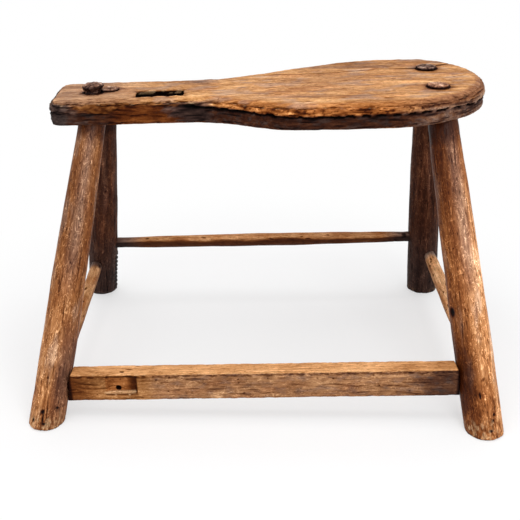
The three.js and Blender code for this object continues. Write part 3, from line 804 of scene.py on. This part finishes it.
def tone_pole(skin, angle, look):
    """One side of the leg lighter and the other deeper, partly painted light and shade, with painted shade
    under the seat and a painted sheen down its front.
    """
    along = skin.grain[:, 0]
    cloud = skin.figure(75, 22, 3, look["salt"] + 21)
    blotch = skin.figure(30, 9, 2, look["salt"] + 23)
    rightward = smooth(-0.7, 0.85, np.cos(angle))
    # painted light on one side of the leg and painted shade on the other, over the wood's own tone
    skin.deepen(look["left"] + (look["right"] - look["left"]) * rightward)
    skin.deepen(look["high"] * smooth(*LEG_HIGH, along) + 0.3 * cloud + 0.2 * blotch)
    skin.deepen((look["low"] + look["low_right"] * smooth(0.4, 1.0, rightward)) * smooth(*LEG_LOW, along))
    skin.deepen(look["middle"] * bell(along - LEG_MIDDLE, LEG_MIDDLE_REACH) * (1 - 0.4 * rightward))
    # painted shade under the seat
    skin.deepen(0.8 * smooth(*SHADE_UNDER_SEAT, along))
    skin.mark("warm", look["warm"] + 0.5 * cloud)
    skin.mark("grey", 0.25 * smooth(0.1, 0.6, -cloud))
    # a painted sheen
    skin.mark("grey", 0.35 * bell(angle - SHEEN_ANGLE, SHEEN_REACH) * smooth(*SHEEN, along))


def shade_and_dust_pole(skin, look):
    """Painted shade and grey dust on the inner side of the leg, where the front bar goes in."""
    inward = smooth(-0.1, 0.75, -np.sign(skin.points[:, 0]) * skin.normals[:, 0])
    beside_bar = inward * bell(skin.points[:, 2] - BAR_RISE, BAR_DIRT_REACH)
    # painted shade beside the bar
    skin.deepen(look["bar_shade"] * beside_bar)
    skin.mark("grey", look["dust"] * beside_bar)


def age_rear_pole(skin, salt):
    """Long bands of tone down a rear leg's pole, redder toward its top and grey toward its foot."""
    along = skin.grain[:, 0]
    pole = smooth(0.8, -0.5, seat_grain(skin.points)[:, 2])
    bands = skin.figure(130, 9, 2, salt + 25)
    skin.deepen(0.6 * bands * pole)
    skin.mark("warm", 0.6 * smooth(0.0, -0.4, bands) * smooth(*REAR_LEG_WARM, along))
    skin.mark("grey", 0.2 + 0.4 * smooth(*REAR_LEG_GREY, along))


def mark_pole(skin, angle, node):
    """The holes, knots and cracks that one leg has and the others don't, each in a darker ring."""
    along = skin.grain[:, 0]
    around = angle * POLE_RADIUS
    for place, degrees, half_length, half_width in LEG_MARKS.get(node, ()):
        middle = math.radians(degrees) * POLE_RADIUS
        skin.sink(oval(along, around, (place, middle, half_length, half_width), 2), 1.6, crack=1.0)
        skin.deepen(0.5 * oval(along, around, (place, middle, half_width + 3, half_width + 3)))


def wear_foot(skin, salt, scuff):
    """The scuffed, paler end of a leg, with its rim broken, and painted shade on its lowest few millimetres.
    """
    low = smooth(30, 2, skin.grain[:, 0])
    height = skin.points[:, 2]
    rim = bell(height - 4, 4) * smooth(0.9, 0.6, np.abs(skin.normals[:, 2]))
    skin.lift(-1.3 * rim * smooth(0.05, 0.5, skin.figure(6, 6, 2, salt + 31)))
    skin.mark("pale", scuff * low * smooth(0, 0.4, skin.figure(12, 5, 2, salt + 33)))
    skin.deepen(0.5 * low * smooth(0, 0.4, skin.figure(10, 5, 2, salt + 35)))
    # painted shade where the foot meets the floor
    skin.deepen(1.2 * smooth(3.5, 0, height))


def shape_head(skin, node, look):
    """The end of the tenon, which stands above the seat: end grain, spread by the mallet and worn round, with
    painted shadow at its foot and painted shade on the sides that turn down.
    """
    salt = look["salt"]
    on_seat = seat_grain(skin.points)
    (middle_along, middle_across), radius = head_centre(node)
    ahead = on_seat[:, 0] - middle_along
    aside = on_seat[:, 1] - middle_across
    away = np.hypot(ahead, aside)
    head = smooth(-0.5, 0.8, on_seat[:, 2])
    lumps = fractal(on_seat / 11, 3, salt + 41)
    turned = np.stack([np.arctan2(aside, ahead) * 3.2, away / 30, away * 0], axis=1)
    rays = smooth(0.3, 0.45, np.abs(noise(turned, salt + 43)))
    skin.lift(head * (look["rough_head"] * lumps - 0.6 * rays))
    # the crack mark at the head's foot is painted shadow in the gap under it
    skin.mark("crack", head * np.maximum(0.35 * rays, smooth(1.4, 0.2, on_seat[:, 2])))
    skin.mark("grey", head * (0.75 * look["head_tone"] + 0.3 * lumps))
    rings = np.sin(away * 2.6 + 2 * lumps)
    worn_rim = bell(away - radius + 4, 2.5)
    specks = smooth(0.15, 0.45, fractal(on_seat / 3.5, 2, salt + 45))
    # painted shade on the sides that turn down
    shaded_flank = smooth(0.9, 0.55, skin.normals @ SEAT_UP)
    tone = look["head_tone"] + 0.25 * rings - 1.1 * lumps - 0.5 * worn_rim + 0.8 * specks + 1.3 * shaded_flank
    skin.marks["tone"] = skin.marks["tone"] * (1 - head) + tone * head


# The stretchers

# Places on the bar are along it from its left end, and toward the back and up from its middle line
BAR_HALF_HEIGHT = 24
BAR_HALF_DEPTH = 15.5
SHOULDER = 16.5  # how far each end of the bar goes into its leg
BAR_LEFT_DIRT = (78, 24)
BAR_RIGHT_DIRT = (105, 40)  # from the bar's right end
BAR_DUST = (135, 165)
RECESS_LENGTH = 49
RECESS_LOW = -9.5
RECESS_HIGH = 19.5
RECESS_DEPTH = 4.5
RECESS_SHADE = (RECESS_LENGTH - 19, RECESS_LENGTH - 3)  # from the recess's left end: where its right end is painted in shade
HOLE_FROM_RECESS_START = 19
HOLE_RADIUS = 4
HOLE_DARK_TO = 6  # toward the back: how far the hole's wall is painted dark, as shade
TOP_HOLES = ((102, -4.4, 3.2, 1.7), (112.6, 2.0, 4.5, 1.0))  # along, toward the back, half length, half width
FACE_DOTS = ((90.5, -13.6), (112.9, -12.8))  # along the bar, and up
FACE_DOT_RADIUS = 1.5
STICK_SHOWN = (18, 26)  # from a stick's end
STICK_DIRT_FULL = 20  # from a stick's end, where its dirt is deepest
# Sticks: each one's piece, salt, lengthwise axis, tone above and below, the lower being painted shade, and
# how far from its ends it is dirty
STICKS = {
    "rear_stretcher": ("rear_stick", 600, 0, (0.15, 1.8), 75),
    "left_stretcher": ("left_stick", 700, 1, (0.2, 0.5), 42),
    "right_stretcher": ("right_stick", 800, 1, (-0.25, 0.15), 42),
}


def bar_frame():
    """The middle of the bar's left end, the ways along it, toward the back and up, and its length."""
    low, high = (np.array(corner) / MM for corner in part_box("front_stretcher"))
    start = np.array([low[0], high[1] - BAR_HALF_DEPTH, low[2] + BAR_HALF_HEIGHT])
    end = np.array([high[0], low[1] + BAR_HALF_DEPTH, high[2] - BAR_HALF_HEIGHT])
    length = np.linalg.norm(end - start)
    axis = (end - start) / length
    up = np.array([0, 0, 1]) - axis[2] * axis
    up /= np.linalg.norm(up)
    return start, np.stack([axis, np.cross(up, axis), up], axis=1), length


def front_bar():
    """The sawn bar: a smooth worn top, a torn mottled face, chipped arrises, dirty ends and painted shadow
    where they meet the legs.
    """
    start, ways, length = bar_frame()
    skin = Skin("front_stretcher", BAR_NET)
    skin.grain = (skin.points - start) @ ways
    face = smooth(-0.5, -0.85, skin.normals @ ways[:, 1])
    top = smooth(0.6, 0.9, skin.normals @ ways[:, 2])
    from_end = np.minimum(skin.grain[:, 0], length - skin.grain[:, 0])
    shown = smooth(SHOULDER + 2, SHOULDER + 8, from_end)
    tear_bar(skin, length, shown, face)
    chip_bar(skin, shown, face, top)
    tone_bar(skin, length, face, top)
    # painted shadow where each end of the bar meets its leg
    skin.deepen(1.8 * smooth(SHOULDER + 5, SHOULDER + 1, from_end))
    oil_and_shade_recess(skin, (BAR_HOLE - start) @ ways)
    mark_bar(skin, face, top)
    return skin.place("front_bar", "bar_wood", BAR_FINISH)


def tear_bar(skin, length, shown, face):
    """Broad hollows and fibres, and the face's torn grain, pits and checks."""
    along, _, rise = skin.grain.T
    broad = skin.figure(110, 40, 2, 501)
    fibres = skin.figure(30, 3, 3, 503)
    torn = skin.figure(17, 5.5, 3, 505)
    skin.lift(shown * (0.5 * broad + 0.2 * fibres + face * 0.6 * torn))
    skin.mark("ripple", 0.6 * face)
    area = ((20, length - 20), (-BAR_HALF_HEIGHT, BAR_HALF_HEIGHT))
    pits = strewn(along, rise, 18, area, (1.2, 3), (0.6, 1.0), 511)
    checks = strewn(along, rise, 34, area, (8, 26), (0.3, 0.6), 513)
    skin.lift(-0.6 * face * (pits + checks))
    skin.mark("crack", face * (0.5 * pits + 0.4 * checks))


def chip_bar(skin, shown, face, top):
    """Ragged chips along the bar's four arrises, with bare wood above the break and a dark line below it."""
    back, rise = skin.grain[:, 1:].T
    inset = np.maximum(BAR_HALF_HEIGHT - np.abs(rise), BAR_HALF_DEPTH - np.abs(back))
    edge = shown * bell(inset, 3.5)
    chips = smooth(-0.05, 0.5, skin.figure(15, 7, 3, 507))
    nibbles = smooth(0.0, 0.5, skin.figure(6, 3, 2, 508))
    top_front = smooth(0, 8, rise) * smooth(0, -6, back)
    skin.lift(-edge * (2.4 * chips + 0.9 * nibbles) * (0.25 + 0.75 * top_front))
    skin.mark("pale", 0.5 * edge * smooth(0.1, 0.5, nibbles) * top)
    skin.deepen(0.5 * edge * chips * (1 - top))
    jagged = skin.figure(12, 4, 3, 510)
    under_arris = bell(BAR_HALF_HEIGHT - rise - 2.5 - 4 * jagged, 1.6) * face
    skin.deepen(1.1 * under_arris * smooth(-0.4, 0.1, jagged))


def tone_bar(skin, length, face, top):
    """The light top, the mottled and partly dusty face, the dirt of both ends, and painted shade on the
    underside.
    """
    along = skin.grain[:, 0]
    cloud = skin.figure(55, 18, 3, 515)
    blotch = skin.figure(20, 9, 3, 517)
    left_end = smooth(*BAR_LEFT_DIRT, along + 16 * cloud)
    right_end = smooth(*BAR_RIGHT_DIRT, length - along - 26 * cloud)
    skin.deepen(top * (-0.12 + 0.12 * cloud) + (1 - top) * 0.55)
    skin.deepen(face * (0.15 * cloud + 0.35 * blotch))
    skin.deepen((1 - 0.75 * top) * (0.7 * left_end + 1.15 * right_end))
    skin.mark("warm", np.maximum(top * 0.4, 0.5 * left_end + face * (0.05 + 0.5 * cloud)))
    dusty = smooth(*BAR_DUST, along) * (1 + right_end)
    skin.mark("grey", face * dusty * (0.14 + 0.35 * np.maximum(blotch, 0)))
    # painted shade on faces that turn down
    skin.deepen(0.5 * smooth(-0.5, -0.8, skin.normals[:, 2]))


def oil_and_shade_recess(skin, hole):
    """The recess, oiled inside, with painted shade along its top and at its right end, a pale lower lip that
    is a painted highlight with a painted shadow line under it, and a hole whose wall is painted dark as
    shade.
    """
    along, back, rise = skin.grain.T
    left = along - hole[0] + HOLE_FROM_RECESS_START
    front = smooth(BAR_HALF_DEPTH - 8, BAR_HALF_DEPTH - 6, -back)
    within = between(left, 0, RECESS_LENGTH, 1.5) * between(rise, RECESS_LOW, RECESS_HIGH, 1.5) * front
    skin.mark("warm", within)
    # painted shade toward the recess's right end
    skin.deepen(within * (0.1 + 1.5 * smooth(*RECESS_SHADE, left)))
    # painted shadow under the recess's top edge
    skin.deepen(1.6 * bell(rise - RECESS_HIGH, 2.2) * between(left, 2, RECESS_LENGTH, 3) * front)
    # painted highlight on the lower lip
    lip = bell(rise - RECESS_LOW - 0.5, 1.5) * between(left, -3, RECESS_LENGTH - 3, 2) * front
    skin.mark("pale", 0.8 * lip)
    # painted shadow line under the lip
    skin.deepen(1.1 * bell(rise - RECESS_LOW + 2.8, 1.2) * between(left, 0, RECESS_LENGTH, 3) * front)
    away = np.hypot(along - hole[0], rise - hole[2])
    shaded_bore = between(back, RECESS_DEPTH - 0.5 - BAR_HALF_DEPTH, HOLE_DARK_TO, 3)
    skin.mark("crack", smooth(HOLE_RADIUS + 0.8, HOLE_RADIUS - 0.2, away) * shaded_bore)


def mark_bar(skin, face, top):
    """Two small holes in the bar's top and two light dots on its face."""
    along, back, rise = skin.grain.T
    for place in TOP_HOLES:
        skin.sink(oval(along, back, place, 2) * top, 1.6, crack=1.0)
    for place in FACE_DOTS:
        dot = oval(along, rise, (*place, FACE_DOT_RADIUS, FACE_DOT_RADIUS))
        skin.mark("pale", 0.8 * dot * face)


def stick(node, name, salt, lengthwise, tone, dirty_end):
    """A whittled stick, lighter where it faces up and in painted shade where it faces down, with dirty ends.
    """
    low, high = (np.array(corner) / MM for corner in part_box(node))
    length = high[lengthwise] - low[lengthwise]
    order = [lengthwise] + [axis for axis in range(3) if axis != lengthwise]
    skin = Skin(node, STICK_NET)
    skin.grain = (skin.points - (low + high) / 2)[:, order]
    from_end = length / 2 - np.abs(skin.grain[:, 0])
    whittle(skin, length, smooth(*STICK_SHOWN, from_end), salt)
    cloud = skin.figure(50, 12, 3, salt + 4)
    upward = skin.normals[:, 2] + 0.35 * skin.figure(90, 30, 2, salt + 5)
    # painted shade: a deeper tone on the side that faces down
    skin.deepen(tone[0] + (tone[1] - tone[0]) * smooth(0.6, 0.15, upward) + 0.35 * cloud)
    skin.mark("warm", 0.2 + cloud)
    dirt = smooth(dirty_end, STICK_DIRT_FULL, from_end)
    skin.deepen(0.9 * dirt)
    skin.mark("grey", 0.7 * dirt)
    return skin.place(name, "stick_wood", STICK_FINISH)


def whittle(skin, length, shown, salt):
    """Long knife flats, raised fibres, a little worn varnish and a few nicks."""
    along, ahead, aside = skin.grain.T
    angle = np.arctan2(aside, ahead)
    flats = noise(np.stack([along / 70, np.cos(angle) * 1.7, np.sin(angle) * 1.7], axis=1), salt + 1)
    fibres = skin.figure(26, 2.6, 3, salt + 2)
    skin.lift(shown * (1.1 * flats + 0.26 * fibres))
    skin.mark("ripple", 0.3 * shown)
    turn = 2 * math.pi * STICK_RADIUS
    area = ((-length / 2, length / 2), (-turn / 2, turn / 2))
    nicks = strewn(along, angle * STICK_RADIUS, 40, area, (2, 8), (0.6, 1.0), salt + 3, turn)
    skin.sink(nicks * shown, 0.5, crack=0.6)


# Finishes

WARM = (1.12, 0.9, 0.72, 1.0)  # what oil and handling multiply the wood's colour by
WHITE = (1, 1, 1, 1)
BARE_WOOD = (216, 172, 126)
LEG_WOOD = (198, 142, 94)
PAPER = (247, 247, 248)
SQUIGGLE_LEVELS = 6  # how many lines the noise is cut into, from its lowest to its highest
LEAST_ROUGHNESS = 0.2
MOST_ROUGHNESS = 0.95


def colour(red, green, blue):
    """A display colour, 0 to 255, as the linear colour that a shader takes."""
    return tuple(((value / 255 + 0.055) / 1.055) ** 2.4 for value in (red, green, blue)) + (1.0,)


class Wiring:
    """The nodes of a material or of the world, with a short call for each kind of node that is needed."""

    def __init__(self, owner, shader="Principled BSDF"):
        self.owner = owner
        owner.use_nodes = True
        self.tree = owner.node_tree
        self.shader = self.tree.nodes[shader]

    def feed(self, node, sockets):
        """Links each of a node's sockets, by name or number, to an output, or sets it to a plain value."""
        for socket, value in sockets.items():
            if isinstance(value, bpy.types.NodeSocket):
                self.tree.links.new(value, node.inputs[socket])
            else:
                node.inputs[socket].default_value = value

    def node(self, kind, sockets=None, **settings):
        made = self.tree.nodes.new("ShaderNode" + kind)
        for setting, value in settings.items():
            setattr(made, setting, value)
        self.feed(made, sockets or {})
        return made

    def mark(self, name, output="Fac"):
        return self.node("Attribute", attribute_name=name).outputs[output]

    def math(self, operation, *values):
        return self.node("Math", dict(enumerate(values)), operation=operation).outputs[0]

    def total(self, start, values, **weights):
        """The start, plus each named value times its weight."""
        for name, weight in weights.items():
            start = self.math("MULTIPLY_ADD", values[name], weight, start)
        return start

    def noise(self, grain, length, width, detail=3.0, roughness=0.55, distortion=0.0):
        """Noise drawn out along the grain, from about -0.3 to 0.3."""
        size = (length, width, width)
        divided = self.node("VectorMath", {0: grain, 1: size}, operation="DIVIDE").outputs[0]
        sockets = {"Scale": 1, "Detail": detail, "Roughness": roughness, "Distortion": distortion}
        return self.math("SUBTRACT", self.node("TexNoise", {"Vector": divided, **sockets}).outputs[0], 0.5)

    def step(self, value, low, high, start=0.0, end=1.0):
        sockets = dict(enumerate((value, low, high, start, end)))
        return self.node("MapRange", sockets, interpolation_type="SMOOTHSTEP").outputs[0]

    def mix(self, share, first, second, blend="MIX"):
        sockets = {0: share, 6: first, 7: second}
        return self.node("Mix", sockets, data_type="RGBA", blend_type=blend).outputs[2]

    def toned(self, base, tone):
        """The base colour at a depth of tone: deeper is darker and more saturated, as in oiled wood."""
        gamma = self.math("MULTIPLY_ADD", tone, TONE_SATURATION, 1.0)
        saturated = self.node("Gamma", {"Color": base, "Gamma": gamma}).outputs[0]
        darkening = self.math("POWER", TONE_DARKENING, tone)
        return self.node("VectorMath", {0: saturated, "Scale": darkening}, operation="SCALE").outputs[0]

    def bump(self, height, strength, distance):
        sockets = {"Height": height, "Strength": strength, "Distance": distance * MM}
        return self.node("Bump", sockets).outputs[0]


def wood(name, base, gloss=0.5, streak=1.3, mottle=0.9, fissure=0.4, coat=0.0, specular=0.1):
    """Old oiled wood. Streak, mottle and fissure say how strongly each of them shows in its tone."""
    finish = Wiring(bpy.data.materials.new(name))
    figure = wood_figure(finish)
    tone = finish.total(finish.mark("tone"), figure, patches=0.8, streaks=streak, threads=0.7, mottles=mottle,
                        grit=0.5, pores=0.6, squiggles=-0.65, fissures=fissure, crack=3.2)
    dull = finish.total(gloss, figure, mottles=0.5, crack=0.45, pale=0.2, pores=0.2)
    relief = finish.total(0.0, figure, streaks=0.8, threads=0.5, mottles=0.6, grit=0.3, pores=-0.3,
                          squiggles=0.1, fissures=-0.35 * fissure)
    finish.feed(finish.shader, {
        "Base Color": wood_colour(finish, figure, base, tone),
        "Roughness": finish.math("MAXIMUM", finish.math("MINIMUM", dull, MOST_ROUGHNESS), LEAST_ROUGHNESS),
        "Specular IOR Level": specular,
        "Coat Weight": coat,
        "Coat Roughness": 0.2,
        "Normal": finish.bump(relief, 0.9, 1.2),
    })
    return finish.owner


def wood_figure(finish):
    """The figure of old wood by name, from broad patches to pores, and two of the marks on its surface."""
    grain = finish.mark("grain", "Vector")
    return {
        "patches": finish.noise(grain, 90, 26),
        "streaks": finish.noise(grain, 75, 3.4, 4, 0.62, 0.3),
        "threads": finish.noise(grain, 24, 1.1, 3, 0.6),
        "mottles": finish.noise(grain, 11, 4.2, 4, 0.66, 0.8),
        "grit": finish.noise(grain, 2.6, 1.4, 2, 0.6),
        "pores": finish.step(finish.noise(grain, 10, 1.1, 2, 0.5), 0.11, 0.2),
        "fissures": finish.step(finish.noise(grain, 14, 2.3, 2, 0.5, 0.9), 0.1, 0.19),
        "squiggles": squiggles(finish, grain),
        "crack": finish.mark("crack"),
        "pale": finish.mark("pale"),
    }


def squiggles(finish, grain):
    """Thin broken wavy lines along the grain, the edges of worn varnish, where the ripple mark asks."""
    level = finish.math("MULTIPLY", finish.noise(grain, 24, 10, 2, 0.5, 1.1), SQUIGGLE_LEVELS)
    line = finish.step(finish.math("PINGPONG", level, 0.5), 0.37, 0.47)
    broken = finish.step(finish.noise(grain, 18, 12, 2), -0.2, 0.03)
    return finish.math("MULTIPLY", finish.math("MULTIPLY", line, broken), finish.mark("ripple"))


def wood_colour(finish, figure, base, tone):
    """The base colour at its tone, warmed or greyed by the marks, and bare wood where it is broken."""
    shade = finish.toned(colour(*base), tone)
    shade = finish.mix(finish.math("MULTIPLY", finish.mark("warm"), 0.8), shade, WARM, "MULTIPLY")
    saturation = finish.math("MULTIPLY_ADD", finish.mark("grey"), -0.55, 1.0)
    shade = finish.node("HueSaturation", {"Saturation": saturation, "Color": shade}).outputs[0]
    bare = finish.toned(colour(*BARE_WOOD), finish.total(0.0, figure, threads=2.0, grit=2.0))
    return finish.mix(figure["pale"], shade, bare)


# Floor, light and camera

FLOOR_SIZE = 24
FLOOR_FADE = (0.42, 0.8)  # from the stool's middle: the floor turns into plain white over this distance
FLOOR_LIFT = 0.53  # how much plain white is mixed into the floor under the stool
WORLD_LIGHT = 0.75  # how strongly the white world lights things, where the camera sees it at 1
# Lamps: where each one is, what it faces, its two sizes, and its power in watts
LAMPS = {
    "overhead": ((0.0, -0.25, 2.2), (0, 0, 0.2), (1.6, 1.2), 14),
    "front_left": ((-1.5, -1.9, 1.1), (0, 0, 0.3), (1.2, 1.2), 4),
    "front_right": ((0.56, -1.45, 1.05), (0.0, -0.15, 0.3), (0.6, 0.9), 7),
}
# The camera, as solved from where the photo has the tenon heads, the seat's outline and the feet
CAMERA_PLACE = (-0.00769, -1.42215, 0.878)
CAMERA_TILT = math.radians(63.947)  # up from straight down
CAMERA_LENS = 62.31  # millimetres, on a sensor of the width below
CAMERA_SENSOR = 36


def floor():
    """White paper that takes the stool's shadow, and turns into the background away from it."""
    bpy.ops.mesh.primitive_plane_add(size=FLOOR_SIZE)
    plane = bpy.context.object
    plane.name = "floor"
    finish = Wiring(bpy.data.materials.new("floor_paper"))
    place = finish.node("NewGeometry").outputs["Position"]
    away = finish.node("VectorMath", {0: place}, operation="LENGTH").outputs["Value"]
    white = finish.math("MULTIPLY", background_seen(finish), finish.step(away, *FLOOR_FADE, FLOOR_LIFT, 1.0))
    finish.feed(finish.shader, {"Base Color": colour(*PAPER), "Roughness": 0.9, "Specular IOR Level": 0.1})
    glow = finish.node("Emission", {"Color": WHITE}).outputs[0]
    blend = finish.node("MixShader", {0: white, 1: finish.shader.outputs[0], 2: glow}).outputs[0]
    finish.feed(finish.tree.nodes["Material Output"], {"Surface": blend})
    plane.data.materials.append(finish.owner)


def background_seen(wiring):
    """1 for rays that show the background: from the camera, in a gloss or through glass."""
    rays = wiring.node("LightPath").outputs
    seen = wiring.math("MAXIMUM", rays["Is Camera Ray"], rays["Is Glossy Ray"])
    return wiring.math("MAXIMUM", seen, rays["Is Transmission Ray"])


def world():
    """White to the camera and in reflections, and a soft even light for everything else."""
    sky = Wiring(bpy.data.worlds.new("studio"), "Background")
    strength = sky.step(background_seen(sky), 0.0, 1.0, WORLD_LIGHT, 1.0)
    sky.feed(sky.shader, {"Color": WHITE, "Strength": strength})
    bpy.context.scene.world = sky.owner


def softbox(name, place, target, size, power):
    """A rectangular lamp that the camera doesn't see."""
    data = bpy.data.lights.new(name, "AREA")
    data.shape = "RECTANGLE"
    data.size, data.size_y = size
    data.energy = power
    lamp = bpy.data.objects.new(name, data)
    bpy.context.scene.collection.objects.link(lamp)
    lamp.location = place
    aim = Vector(target) - Vector(place)
    lamp.rotation_euler = aim.to_track_quat("-Z", "Y").to_euler()
    lamp.visible_camera = False
    return lamp


def camera():
    data = bpy.data.cameras.new("camera")
    data.sensor_width = CAMERA_SENSOR
    data.lens = CAMERA_LENS
    eye = bpy.data.objects.new("camera", data)
    bpy.context.scene.collection.objects.link(eye)
    eye.location = CAMERA_PLACE
    eye.rotation_euler = (CAMERA_TILT, 0, 0)
    bpy.context.scene.camera = eye


SEAT_FINISH = wood("seat_wood", (202, 145, 91), gloss=0.5, streak=1.5, mottle=1.3, specular=0.045)
FRONT_LEG_FINISH = wood("front_leg_wood", LEG_WOOD, gloss=0.44, fissure=0.85, coat=0.08, specular=0.04)
REAR_LEG_FINISH = wood("rear_leg_wood", LEG_WOOD, gloss=0.5, specular=0.03)
BAR_FINISH = wood("bar_wood", (204, 150, 99), gloss=0.6, fissure=0.6, specular=0.05)
STICK_FINISH = wood("stick_wood", (198, 144, 97), gloss=0.55, specular=0.08)

camera()
world()
for lamp_name, settings in LAMPS.items():
    softbox(lamp_name, *settings)
floor()
seat_plank()
for leg in LEG_SPLAY:
    leg_pole(leg)
front_bar()
for stretcher, settings in STICKS.items():
    stick(stretcher, *settings)

bpy.context.scene.view_settings.view_transform = "Standard"
